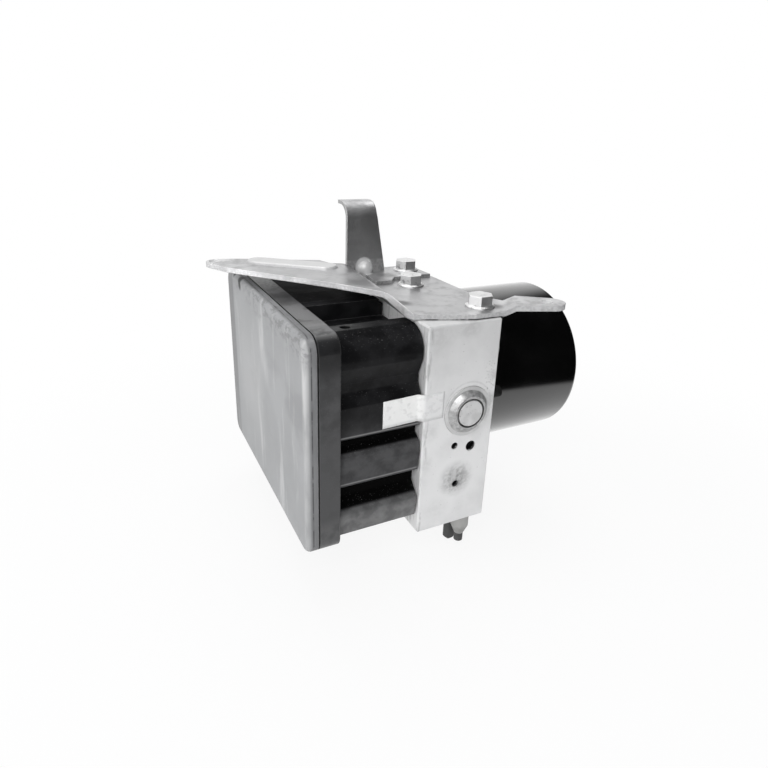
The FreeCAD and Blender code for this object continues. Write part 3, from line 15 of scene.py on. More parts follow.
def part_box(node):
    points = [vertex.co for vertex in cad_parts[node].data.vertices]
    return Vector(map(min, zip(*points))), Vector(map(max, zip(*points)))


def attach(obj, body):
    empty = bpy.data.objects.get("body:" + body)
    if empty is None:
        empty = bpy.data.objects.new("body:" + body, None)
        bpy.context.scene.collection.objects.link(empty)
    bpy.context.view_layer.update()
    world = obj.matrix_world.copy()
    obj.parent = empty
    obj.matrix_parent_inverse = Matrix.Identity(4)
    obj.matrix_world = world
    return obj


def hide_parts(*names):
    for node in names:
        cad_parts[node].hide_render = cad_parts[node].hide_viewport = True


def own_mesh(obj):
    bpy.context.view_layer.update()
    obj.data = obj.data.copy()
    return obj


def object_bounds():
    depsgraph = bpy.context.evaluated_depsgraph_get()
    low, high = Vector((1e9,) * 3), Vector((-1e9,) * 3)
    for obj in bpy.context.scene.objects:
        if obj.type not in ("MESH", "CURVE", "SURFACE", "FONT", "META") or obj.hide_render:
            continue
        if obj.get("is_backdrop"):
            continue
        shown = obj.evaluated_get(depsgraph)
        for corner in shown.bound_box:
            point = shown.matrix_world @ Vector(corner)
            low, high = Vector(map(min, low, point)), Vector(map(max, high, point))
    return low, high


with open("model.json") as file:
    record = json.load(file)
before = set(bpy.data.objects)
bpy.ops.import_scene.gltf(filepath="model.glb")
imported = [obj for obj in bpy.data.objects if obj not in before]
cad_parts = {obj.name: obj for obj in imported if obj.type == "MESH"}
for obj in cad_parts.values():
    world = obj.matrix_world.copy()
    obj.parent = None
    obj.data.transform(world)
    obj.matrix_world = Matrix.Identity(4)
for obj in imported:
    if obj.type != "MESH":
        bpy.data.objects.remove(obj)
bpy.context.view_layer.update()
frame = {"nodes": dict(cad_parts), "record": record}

logging.basicConfig(level=logging.INFO, format="%(message)s")
log = logging.getLogger("brake_module")

MM = 0.001
FLOOR_GAP = 0.4 * MM
X_AXIS, Z_AXIS = 0, 2
MIX_SHARE, MIX_FIRST, MIX_SECOND, MIX_COLOUR = 0, 6, 7, 2
FIXED_BODY = "module"
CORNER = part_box("valve_block")[0]

Colour = tuple[float, float, float]
Point = tuple[float, float, float]
Range = tuple[float, float]
Socket = bpy.types.NodeSocket


def grey(level: float) -> Colour:
    """Return an even grey."""
    return (level, level, level)


def from_corner(x: float, y: float, z: float) -> Vector:
    """Return a point of the row frame from millimetres off the valve block's lower corner."""
    return CORNER + Vector((x, y, z)) * MM


class Look(Enum):
    """Names of the finishes."""

    COVER = "cover"
    HOUSING = "housing"
    ALUMINIUM = "aluminium"
    PLUG = "plug"
    ZINC = "zinc"
    BOLT = "bolt"
    MOTOR = "motor"
    RUBBER = "rubber"
    PEG = "peg"
    LABEL = "label"
    STEEL = "steel"
    COPPER = "copper"
    CONTACTS = "contacts"
    BOARD = "board"
    MAGNET = "magnet"
    OILED = "oiled"


class Tree:
    """A node tree that is built by short calls.

    Attributes:
        nodes: the tree's nodes.
        links: the tree's links.
        place: X, Y and Z outputs that where() keeps for its next call.
    """

    def __init__(self, tree: bpy.types.NodeTree) -> None:
        """Take over a node tree and clear it.

        Args:
            tree: the tree of a material, a world or a group.
        """
        tree.nodes.clear()
        self.nodes = tree.nodes
        self.links = tree.links
        self.place: list[Socket] = []

    def add(self, kind: str, **settings: object) -> bpy.types.Node:
        """Add a node.

        Args:
            kind: the node's type name.
            **settings: properties, or inputs by name with spaces as underscores.

        Returns:
            The new node.
        """
        node = self.nodes.new(kind)
        for name, value in settings.items():
            if hasattr(node, name):
                setattr(node, name, value)
            else:
                self.feed(node.inputs[name.replace("_", " ")], value)
        return node

    def feed(self, socket: Socket, value: object) -> None:
        """Set a socket to a value, or link an output to it.

        Args:
            socket: the input to feed.
            value: an output, a colour, a vector or a number.
        """
        if isinstance(value, Socket):
            self.links.new(value, socket)
        elif isinstance(value, tuple) and socket.type == "RGBA":
            socket.default_value = (*value, 1.0)
        else:
            socket.default_value = value

    def chain(self, kind: str, *values: object, **settings: object) -> bpy.types.Node:
        """Add a node whose first inputs are fed in their order.

        Args:
            kind: the node's type name.
            *values: outputs, vectors or numbers for the inputs.
            **settings: properties of the node.

        Returns:
            The new node.
        """
        node = self.add(kind, **settings)
        for socket, value in zip(node.inputs, values):
            self.feed(socket, value)
        return node

    def math(self, operation: str, first: object, second: object = 0.0) -> Socket:
        """Return the output of a Math node."""
        return self.chain("ShaderNodeMath", first, second, operation=operation).outputs[0]

    def vector(self, operation: str, *values: object) -> bpy.types.Node:
        """Return a Vector Math node."""
        return self.chain("ShaderNodeVectorMath", *values, operation=operation)

    def split(self, vector: Socket) -> list[Socket]:
        """Return X, Y and Z of a vector."""
        return list(self.chain("ShaderNodeSeparateXYZ", vector).outputs)

    def spot(self) -> Socket:
        """Return the shaded point in object space."""
        return self.add("ShaderNodeTexCoord").outputs["Object"]

    def mix(self, share: object, *shaders: bpy.types.Node) -> Socket:
        """Return a shader that goes from the first to the second with share."""
        ends = [shader.outputs[0] for shader in shaders]
        return self.chain("ShaderNodeMixShader", share, *ends).outputs[0]

    def product(self, *factors: object) -> object:
        """Multiply.

        Args:
            *factors: outputs or numbers.

        Returns:
            Their product, or the factor itself where there is one.
        """
        result = factors[0]
        for factor in factors[1:]:
            result = self.math("MULTIPLY", result, factor)
        return result

    def where(self) -> list[Socket]:
        """Give the shaded point's place.

        Returns:
            Its X, Y and Z in millimetres off the valve block's lower corner.
        """
        if not self.place:
            offset = self.vector("SUBTRACT", self.spot(), CORNER)
            scaled = self.vector("SCALE", offset.outputs[0])
            scaled.inputs["Scale"].default_value = 1.0 / MM
            self.place = self.split(scaled.outputs[0])
        return self.place

    def band(self, value: object, low: float, high: float, soft: float = 0.5) -> object:
        """Make a mask that is 1 while a value lies in a range.

        Args:
            value: the output to test.
            low: start of the range.
            high: end of the range.
            soft: half the width of its soft ends.

        Returns:
            The mask.
        """
        rising = self.rise(value, low - soft, low + soft)
        falling = self.fall(value, high - soft, high + soft)
        return self.product(rising, falling)

    def from_axis(self, x_at: float, z_at: float) -> Socket:
        """Give the distance from an axis along Y.

        Args:
            x_at: X of the axis.
            z_at: Z of the axis.

        Returns:
            The distance in millimetres.
        """
        x, _, z = self.where()
        across = self.math("POWER", self.math("SUBTRACT", x, x_at), 2.0)
        up = self.math("POWER", self.math("SUBTRACT", z, z_at), 2.0)
        return self.math("SQRT", self.math("ADD", across, up))

    def near(self, place: Sequence[float], inner: float, outer: float) -> Socket:
        """Make a mask around a place.

        Args:
            place: centre in millimetres off the valve block's lower corner.
            inner: radius of the full mask in millimetres.
            outer: radius where it ends in millimetres.

        Returns:
            The mask.
        """
        distance = self.vector("DISTANCE", self.spot(), from_corner(*place)).outputs["Value"]
        return self.fall(distance, inner * MM, outer * MM)

    def facing(self, axis: int) -> Socket:
        """Return how much the surface faces along one positive axis."""
        return self.split(self.add("ShaderNodeNewGeometry").outputs["Normal"])[axis]

    def spread(self, value: object, low: float, high: float,
               start: float = 0.0, end: float = 1.0) -> Socket:
        """Map a value from start..end to low..high with soft ends.

        Args:
            value: the output to map.
            low: result at start.
            high: result at end.
            start: input that gives low.
            end: input that gives high.

        Returns:
            The mapped output.
        """
        node = self.chain("ShaderNodeMapRange", value, start, end, low, high,
                          interpolation_type="SMOOTHSTEP")
        return node.outputs[0]

    def rise(self, value: object, start: float, end: float) -> Socket:
        """Return a mask that goes from 0 at start to 1 at end."""
        return self.spread(value, 0.0, 1.0, start, end)

    def fall(self, value: object, start: float, end: float) -> Socket:
        """Return a mask that goes from 1 at start to 0 at end."""
        return self.spread(value, 1.0, 0.0, start, end)

    def blend(self, share: object, first: object, second: object) -> Socket:
        """Mix two colours.

        Args:
            share: share of the second.
            first: colour at 0.
            second: colour at 1.

        Returns:
            The mixed colour.
        """
        node = self.add("ShaderNodeMix", data_type="RGBA")
        for number, value in ((MIX_SHARE, share), (MIX_FIRST, first), (MIX_SECOND, second)):
            self.feed(node.inputs[number], value)
        return node.outputs[MIX_COLOUR]

    def lay(self, colour: object, tone: object, *masks: object) -> Socket:
        """Return a colour with a tone laid over it as far as all the masks let it."""
        return self.blend(self.product(*masks), colour, tone)

    def noise(self, size: object, detail: float = 4.0, stretch: Sequence[float] = (1, 1, 1),
              roughness: float = 0.55) -> Socket:
        """Make object-space noise.

        Args:
            size: size of its largest patches in millimetres.
            detail: octaves.
            stretch: how much longer the patches are along each axis.
            roughness: weight of the finer octaves.

        Returns:
            The noise factor output.
        """
        mapping = self.chain("ShaderNodeMapping", self.spot())
        mapping.inputs["Scale"].default_value = tuple(1.0 / part for part in stretch)
        node = self.add("ShaderNodeTexNoise", Detail=detail, Roughness=roughness)
        self.feed(node.inputs["Vector"], mapping.outputs[0])
        linked = isinstance(size, Socket)
        scale = self.math("DIVIDE", 1.0 / MM, size) if linked else 1.0 / MM / size
        self.feed(node.inputs["Scale"], scale)
        return node.outputs[0]


def group_tree(name: str, inputs: dict[str, float],
               outputs: dict[str, str]) -> tuple[bpy.types.NodeTree, Tree]:
    """Make an empty shader node group.

    Args:
        name: the group's name.
        inputs: float inputs with their defaults.
        outputs: outputs with their socket types.

    Returns:
        The group and its Tree.
    """
    group = bpy.data.node_groups.new(name, "ShaderNodeTree")
    for label, value in inputs.items():
        socket = group.interface.new_socket(label, in_out="INPUT", socket_type="NodeSocketFloat")
        socket.default_value = value
    for label, kind in outputs.items():
        group.interface.new_socket(label, in_out="OUTPUT", socket_type=kind)
    return group, Tree(group)


def make_surface_group() -> bpy.types.NodeTree:
    """Build the group that every finish uses: patches, grain, specks and edge wear.

    Returns:
        The group.
    """
    inputs = {"Patch Size": 20.0, "Grain Size": 0.5, "Edge Radius": 0.6 * MM, "Speck Size": 1.2}
    outputs = dict.fromkeys(("Patches", "Grain", "Specks", "Edges"), "NodeSocketFloat")
    outputs["Soft Normal"] = "NodeSocketVector"
    group, tree = group_tree("worn surface", inputs, outputs)
    entry = tree.add("NodeGroupInput").outputs
    bevel = tree.add("ShaderNodeBevel", samples=6, Radius=entry["Edge Radius"]).outputs[0]
    normal = tree.add("ShaderNodeNewGeometry").outputs["Normal"]
    flatness = tree.vector("DOT_PRODUCT", bevel, normal).outputs["Value"]
    broken = tree.spread(tree.noise(1.6, 4.0), 0.35, 1.0, 0.4, 0.6)
    specks = tree.noise(entry["Speck Size"], 2.0, roughness=0.4)
    found = {
        "Patches": tree.rise(tree.noise(entry["Patch Size"], 5.0), 0.36, 0.64),
        "Grain": tree.noise(entry["Grain Size"], 3.0),
        "Specks": tree.rise(specks, 0.68, 0.74),
        "Edges": tree.product(tree.fall(flatness, 0.86, 0.995), broken),
        "Soft Normal": bevel,
    }
    result = tree.add("NodeGroupOutput")
    for label, output in found.items():
        tree.feed(result.inputs[label], output)
    return group


@dataclass(frozen=True)
class Finish:
    """A worn surface finish.

    Attributes:
        name: material name.
        base: main colour.
        patch: colour of the cloudy patches.
        edge: colour of worn edges.
        edge_share: how strongly edges take that colour.
        roughness: roughness on the main colour.
        patch_roughness: roughness on the patches.
        metallic: 0 for paint and plastic, 1 for metal.
        specular: specular level.
        coat: clear coat weight.
        coat_index: refractive index of the coat.
        coat_roughness: roughness of the coat.
        patch_size: size of the patches in millimetres.
        grain_size: size of the grain in millimetres.
        grain_depth: depth of the grain in millimetres.
        edge_radius: rounding of the edges in millimetres.
        speck_share: how strongly dust specks show.
        speck_size: size of the dust specks in millimetres.
        speck: colour of the dust specks.
    """

    name: str
    base: Colour
    patch: Colour
    edge: Colour
    edge_share: float = 0.3
    roughness: float = 0.5
    patch_roughness: float = 0.6
    metallic: float = 0.0
    specular: float = 0.5
    coat: float = 0.0
    coat_index: float = 1.5
    coat_roughness: float = 0.12
    patch_size: float = 20.0
    grain_size: float = 0.5
    grain_depth: float = 0.01
    edge_radius: float = 0.5
    speck_share: float = 0.0
    speck_size: float = 0.7
    speck: Colour = grey(0.6)

    def material(self, surface: bpy.types.NodeTree) -> bpy.types.Material:
        """Build the material.

        Args:
            surface: the shared surface group.

        Returns:
            The material.
        """
        material = bpy.data.materials.new(self.name)
        material.use_nodes = True
        tree = Tree(material.node_tree)
        group = tree.add("ShaderNodeGroup")
        group.node_tree = surface
        sizes = {"Patch Size": self.patch_size, "Grain Size": self.grain_size,
                 "Edge Radius": self.edge_radius * MM, "Speck Size": self.speck_size}
        for label, size in sizes.items():
            group.inputs[label].default_value = size
        worn = group.outputs
        colour = tree.blend(worn["Patches"], self.base, self.patch)
        colour = self.mark(tree, colour)
        colour = tree.lay(colour, self.edge, worn["Edges"], self.edge_share)
        if self.speck_share:
            upward = tree.spread(tree.facing(Z_AXIS), 0.25, 1.0, 0.2, 0.8)
            colour = tree.lay(colour, self.speck, worn["Specks"], self.speck_share, upward)
        bump = tree.add("ShaderNodeBump", Strength=1.0, Distance=self.grain_depth * MM,
                        Height=self.relief(tree, worn["Grain"]), Normal=worn["Soft Normal"])
        shader = tree.add("ShaderNodeBsdfPrincipled")
        sockets = {
            "Base Color": colour,
            "Metallic": self.metal(tree),
            "Roughness": tree.spread(worn["Patches"], self.roughness, self.patch_roughness),
            "Normal": bump.outputs[0],
            "Specular IOR Level": self.specular,
            "Coat Weight": self.gloss(tree),
            "Coat Roughness": self.coat_roughness,
            "Coat IOR": self.coat_index,
        }
        for label, value in sockets.items():
            tree.feed(shader.inputs[label], value)
        tree.add("ShaderNodeOutputMaterial", Surface=shader.outputs[0])
        return material

    def mark(self, tree: Tree, colour: Socket) -> Socket:
        """Return the colour with the finish's own marks; a plain finish has none."""
        return colour

    def gloss(self, tree: Tree) -> object:
        """Return the coat's weight; a plain finish has one number."""
        return self.coat

    def metal(self, tree: Tree) -> object:
        """Return the metallic level; a plain finish has one number."""
        return self.metallic

    def relief(self, tree: Tree, grain: Socket) -> Socket:
        """Return the height that the bump follows; a plain finish has only its grain."""
        return grain


@dataclass(frozen=True)
class StainedAluminium(Finish):
    """Raw extruded aluminium with draw lines and stains around the drillings.

    Attributes:
        stain: colour of the stains.
        spots: stained places as x, y, z, radius and strength.
        pitted: X and Z ranges of the finely pitted strip.
        dull: heights between which the block goes a little darker.
        scored: X and Z of the scored arc's centre, its inner and outer radius.
        drillings: X, Z and radius of the drillings on the near side, painted dark inside as shade.
        shallow: depths between which the painted shade in a drilling goes grey.
        deep: depths between which that painted shade goes black.
    """

    stain: Colour = grey(0.24)
    spots: tuple[tuple[float, ...], ...] = (
        (19.0, 0.0, 24.5, 11.0, 0.85),
        (20.5, 0.0, 22.0, 5.0, 0.5),
        (22.3, 0.0, 58.5, 14.0, 0.22),
        (33.5, 0.0, 62.0, 5.5, 0.35),
        (34.0, 0.0, 74.0, 4.0, 0.3),
        (4.0, 0.0, 96.0, 12.0, 0.2),
        (20.0, 0.0, 99.0, 9.0, 0.25),
        (3.0, 0.0, 52.0, 7.0, 0.2),
        (2.0, 0.0, 36.0, 5.0, 0.18),
        (9.0, 0.0, 10.0, 9.0, 0.12),
    )
    pitted: tuple[Range, Range] = ((30.5, 35.5), (54.0, 82.0))
    dull: Range = (55.0, 100.0)
    scored: tuple[float, float, float, float] = (22.3, 60.3, 11.9, 12.4)
    drillings: tuple[Point, ...] = ((17.0, 42.0, 1.7), (25.7, 40.2, 2.5), (19.0, 21.7, 1.7))
    shallow: Range = (0.1, 0.6)
    deep: Range = (0.5, 1.8)

    def mark(self, tree: Tree, colour: Socket) -> Socket:
        """Add stains, pits, scored lines and painted shade inside the drillings.

        Args:
            tree: the material's tree.
            colour: the colour so far.

        Returns:
            The marked colour.
        """
        x, y, z = tree.where()
        broken = tree.spread(tree.noise(2.4, 5.0), 0.5, 1.0, 0.4, 0.6)
        for *place, radius, strength in self.spots:
            spot = tree.near(place, radius * 0.15, radius)
            colour = tree.lay(colour, self.stain, spot, strength, broken)
        dots = tree.spread(tree.noise(1.1, 1.0), 0.0, 0.3, 0.7, 0.76)
        fine = tree.spread(tree.noise(0.7, 2.0), 0.0, 0.7, 0.6, 0.68)
        across, up = self.pitted
        strip = tree.product(tree.band(x, *across, 1.5), tree.band(z, *up, 5.0), fine)
        scratched = tree.spread(tree.noise(2.0, 5.0, (1, 1, 5)), 0.0, 0.4, 0.52, 0.64)
        border = tree.product(tree.fall(x, 1.0, 3.5), scratched)
        x_at, z_at, *radii = self.scored
        arc = tree.product(tree.band(tree.from_axis(x_at, z_at), *radii), tree.rise(z, 60.0, 68.0))
        arc = tree.product(arc, broken, 0.3)
        for mask in (dots, strip, tree.spread(z, 0.0, 0.14, *self.dull), border, arc):
            colour = tree.lay(colour, self.stain, mask)
        chipped = tree.spread(tree.noise(1.4, 3.0), 0.25, 1.0, 0.4, 0.5)
        # Painted shade inside each drilling: grey near its mouth, black deeper in.
        for x_at, z_at, radius in self.drillings:
            bore_shade = tree.fall(tree.from_axis(x_at, z_at), radius + 0.1, radius + 0.35)
            colour = tree.lay(colour, grey(0.12), bore_shade, tree.rise(y, *self.shallow), chipped)
            colour = tree.lay(colour, grey(0.004), bore_shade, tree.rise(y, *self.deep))
        return colour

    def relief(self, tree: Tree, grain: Socket) -> Socket:
        """Return grain with draw lines along Z."""
        lines = tree.noise(0.35, 2.0, (1, 1, 60))
        return tree.math("ADD", grain, tree.math("MULTIPLY", lines, 0.6))


@dataclass(frozen=True)
class TurnedPlug(Finish):
    """Turned plug with painted shade: a grey cone and a dark groove around its disc.

    Attributes:
        axis: X and Z of its axis.
        groove: inner and outer radius of the groove, painted dark as shade.
        cone: inner and outer radius of the cone, painted grey as shade.
        staking: inner and outer radius of the dark line at the staked ring.
    """

    axis: tuple[float, float] = (22.3, 58.5)
    groove: Range = (6.15, 7.05)
    cone: Range = (7.2, 10.0)
    staking: Range = (9.9, 10.3)

    def mark(self, tree: Tree, colour: Socket) -> Socket:
        """Add painted shade on the cone and in the groove, a dark line at the staked ring, and pits.

        Args:
            tree: the material's tree.
            colour: the colour so far.

        Returns:
            The marked colour.
        """
        distance = tree.from_axis(*self.axis)
        broken = tree.spread(tree.noise(2.0, 4.0, roughness=0.6), 0.45, 1.0, 0.38, 0.6)
        # Painted shade: the cone goes grey and the groove around the disc nearly black.
        colour = tree.lay(colour, grey(0.36), tree.band(distance, *self.cone, 0.4), broken)
        colour = tree.lay(colour, grey(0.02), tree.band(distance, *self.groove, 0.2), 0.92)
        colour = tree.lay(colour, grey(0.1), tree.band(distance, *self.staking, 0.3), broken, 0.5)
        pits = tree.spread(tree.noise(1.0, 2.0), 0.0, 0.6, 0.66, 0.72)
        return tree.lay(colour, grey(0.1), pits)


@dataclass(frozen=True)
class ScuffedPlastic(Finish):
    """Cover plastic with long faint scuffs, a light worn rim, a painted highlight streak, and painted
    shade on its sides and beside the seam.

    Attributes:
        scuff: colour of the scuffs.
        scuff_share: how strongly they show.
        stretch: direction that they run in.
        side: colour of the painted shade on the side walls, and of the smudges.
        face: X where the face's round edge ends.
        streak: slanted Y range and Z range of the pale streak, a painted highlight.
        pale: Y and Z ranges of the pale field.
        seam: X of the dark line of painted shade that runs beside the seam.
        dirt: dark spots as place, inner and outer radius.
    """

    scuff: Colour = grey(0.6)
    scuff_share: float = 0.4
    stretch: tuple[float, float, float] = (1.0, 1.0, 6.0)
    side: Colour = (0.14, 0.14, 0.145)
    face: float = -51.4
    streak: tuple[Range, Range] = ((35.0, 42.0), (66.0, 88.0))
    pale: tuple[Range, Range] = ((62.0, 104.0), (30.0, 80.0))
    seam: Range = (-50.7, -50.3)
    dirt: tuple[tuple[Point, float, float], ...] = (
        ((-53.1, 98.0, 98.2), 1.0, 3.4),
        ((-52.0, 98.9, 101.0), 1.4, 4.0),
        ((-52.2, 110.5, 101.0), 0.6, 2.4),
    )

    def mark(self, tree: Tree, colour: Socket) -> Socket:
        """Add scuffs, pale fields, a painted highlight streak, the worn rim, grime, painted shade on
        the sides and a painted shade line at the seam.

        Args:
            tree: the material's tree.
            colour: the colour so far.

        Returns:
            The marked colour.
        """
        x, y, z = tree.where()
        scuffs = tree.noise(11.0, 6.0, self.stretch, 0.65)
        scuffs = tree.spread(scuffs, 0.0, self.scuff_share, 0.52, 0.70)
        colour = tree.lay(colour, self.scuff, scuffs)
        smudge = tree.noise(26.0, 3.0, (1, 1.6, 1))
        colour = tree.lay(colour, self.side, tree.spread(smudge, 0.0, 0.22, 0.50, 0.66))
        worn = tree.spread(tree.noise(5.0, 5.0, (1, 1, 4)), 0.35, 1.0, 0.38, 0.6)
        # Painted highlight: a broad, slanted pale streak down the face.
        slanted = tree.math("ADD", y, tree.math("MULTIPLY", z, -0.25))
        across, up = self.streak
        streak = tree.product(tree.band(slanted, *across, 5.0), tree.band(z, *up, 9.0))
        colour = tree.lay(colour, grey(0.52), streak, worn, 0.75)
        across, up = self.pale
        pale = tree.product(tree.band(y, *across, 8.0), tree.band(z, *up, 20.0))
        colour = tree.lay(colour, grey(0.46), pale, 0.3)
        rim = tree.product(tree.band(y, -0.9, 2.2, 1.2), tree.spread(z, 0.4, 1.0, 40.0, 90.0))
        colour = tree.lay(colour, grey(0.5), rim, worn)
        border = tree.product(tree.rise(z, 88.0, 99.0), tree.spread(y, 1.0, 0.3, 60.0, 100.0))
        grime = tree.spread(tree.noise(3.2, 6.0, (1, 2, 1), 0.7), 0.0, 0.6, 0.46, 0.6)
        colour = tree.lay(colour, grey(0.13), border, grime)
        far_band = tree.spread(y, 0.0, 0.65, 111.5, 115.5)
        colour = tree.lay(colour, (0.15, 0.15, 0.152), far_band)
        # Painted shade: the top and side walls behind the face's round edge are painted darker.
        wall_shade = tree.spread(x, 0.0, 0.8, self.face - 0.6, self.face + 0.5)
        colour = tree.lay(colour, self.side, wall_shade, tree.spread(worn, 1.0, 0.75))
        for spot, inner, outer in self.dirt:
            dirt = tree.near(spot, inner, outer)
            colour = tree.lay(colour, grey(0.015), dirt, 0.92)
        # Painted shade: a dashed dark line beside the seam, along the cover's top and near side.
        outline = tree.math("MAXIMUM", tree.rise(z, 100.5, 101.4), tree.fall(y, -0.9, 0.2))
        dashes = tree.spread(tree.noise(4.0), 0.3, 1.0, 0.4, 0.55)
        return tree.lay(colour, grey(0.02), tree.band(x, *self.seam, 0.25), outline, dashes, 0.85)


@dataclass(frozen=True)
class HousingPlastic(Finish):
    """Black moulding with a glossy flange, pale lips, lower lobes painted lighter as light from the
    floor, grooves painted black as shade and a flange side painted lighter as reflected light.

    Attributes:
        floor_lit: colour of the lower lobes, painted lighter as light from the floor.
        foot: colour of the lowest lobe, painted lighter still as light from the floor.
        flange: colour of the flange's side, painted lighter as reflected light from the pale
            surroundings.
        flange_top: colour of the flange's dusty top.
        flange_end: X over which the flange ends and the lobed body begins.
        lips: heights of the pale lips between the lobes.
        lip_height: how high a lip is.
        lip_start: X over which the lips begin behind the flange.
        groove_in: Y over which a groove goes black with painted shade.
        groove_out: Y over which the black ends again.
        groove_top: Z over which the grooves end.
        wiped: Y range of the cleaner field on the flange's top.
        shelf: Y range of the dusty shelf on the lobed body.
    """

    floor_lit: Colour = (0.075, 0.075, 0.077)
    foot: Colour = grey(0.2)
    flange: Colour = (0.058, 0.058, 0.06)
    flange_top: Colour = (0.098, 0.098, 0.1)
    flange_end: Range = (-39.3, -38.5)
    lips: tuple[float, ...] = (55.9, 34.2)
    lip_height: float = 0.6
    lip_start: Range = (-38.9, -38.5)
    groove_in: Range = (2.5, 3.7)
    groove_out: Range = (14.0, 20.0)
    groove_top: Range = (57.0, 60.0)
    wiped: Range = (46.0, 62.0)
    shelf: Range = (13.0, 19.6)

    def mark(self, tree: Tree, colour: Socket) -> Socket:
        """Add painted floor light by height, pale lips, painted shade in the grooves and the flange's
        tones.

        Args:
            tree: the material's tree.
            colour: the colour so far.

        Returns:
            The marked colour.
        """
        x, y, z = tree.where()
        cloud = tree.spread(tree.noise(6.0, 5.0), 0.55, 1.0, 0.35, 0.65)
        # Painted light from the floor: the lower lobes, and the lowest one most, are painted lighter.
        colour = tree.lay(colour, self.floor_lit, tree.fall(z, 49.0, 66.0), cloud)
        colour = tree.lay(colour, self.foot, tree.fall(z, 15.0, 24.0), cloud)
        behind = tree.rise(x, *self.lip_start)
        for lip in self.lips:
            line = tree.band(z, lip, lip + self.lip_height, 0.35)
            colour = tree.lay(colour, grey(0.34), line, tree.fall(y, 2.8, 3.6), behind, 0.55)
        # Painted shade: the grooves between the lobes are painted nearly black.
        colour = tree.lay(colour, grey(0.002), self.sunk(tree))
        front = tree.fall(x, *self.flange_end)
        # Painted reflected light: the flange's side is painted lighter, fully below Z 78 and fading
        # to a small share by Z 92.
        low = tree.spread(z, 1.0, 0.12, 78.0, 92.0)
        colour = tree.lay(colour, self.flange, front, low, cloud)
        top = tree.product(front, tree.rise(tree.facing(Z_AXIS), 0.86, 0.98))
        wet = tree.spread(tree.noise(9.0, 5.0), 0.25, 1.0, 0.42, 0.52)
        wiped = tree.spread(tree.band(y, *self.wiped, 7.0), 1.0, 0.25)
        colour = tree.lay(colour, self.flange_top, top, wet, wiped)
        flecks = tree.spread(tree.noise(1.5, 5.0), 0.3, 1.0, 0.4, 0.6)
        colour = tree.lay(colour, grey(0.3), top, tree.spread(y, 0.0, 0.8, 66.0, 84.0), flecks)
        shelf = tree.product(tree.band(y, *self.shelf, 1.0), tree.rise(z, 98.0, 98.5))
        return tree.lay(colour, grey(0.15), shelf, tree.spread(x, 0.8, 0.12, -36.0, -18.0), cloud)

    def sunk(self, tree: Tree) -> Socket:
        """Mask the grooves between the lobes, which take painted shade.

        Args:
            tree: the material's tree.

        Returns:
            The mask.
        """
        _, y, z = tree.where()
        deep = tree.product(tree.rise(y, *self.groove_in), tree.fall(y, *self.groove_out))
        return tree.product(deep, tree.fall(z, *self.groove_top))

    def gloss(self, tree: Tree) -> Socket:
        """Weigh the coat: less behind the flange, almost none on the top there and in the grooves.

        Args:
            tree: the material's tree.

        Returns:
            The coat's weight.
        """
        x, _, z = tree.where()
        level = tree.spread(x, self.coat, self.coat * 0.3, *self.flange_end)
        upward = tree.product(tree.rise(tree.facing(Z_AXIS), 0.6, 0.9), tree.rise(z, 94.0, 96.5))
        top = tree.product(upward, tree.rise(x, *self.flange_end))
        level = tree.product(level, tree.spread(top, 1.0, 0.01))
        return tree.product(level, tree.spread(self.sunk(tree), 1.0, 0.08))


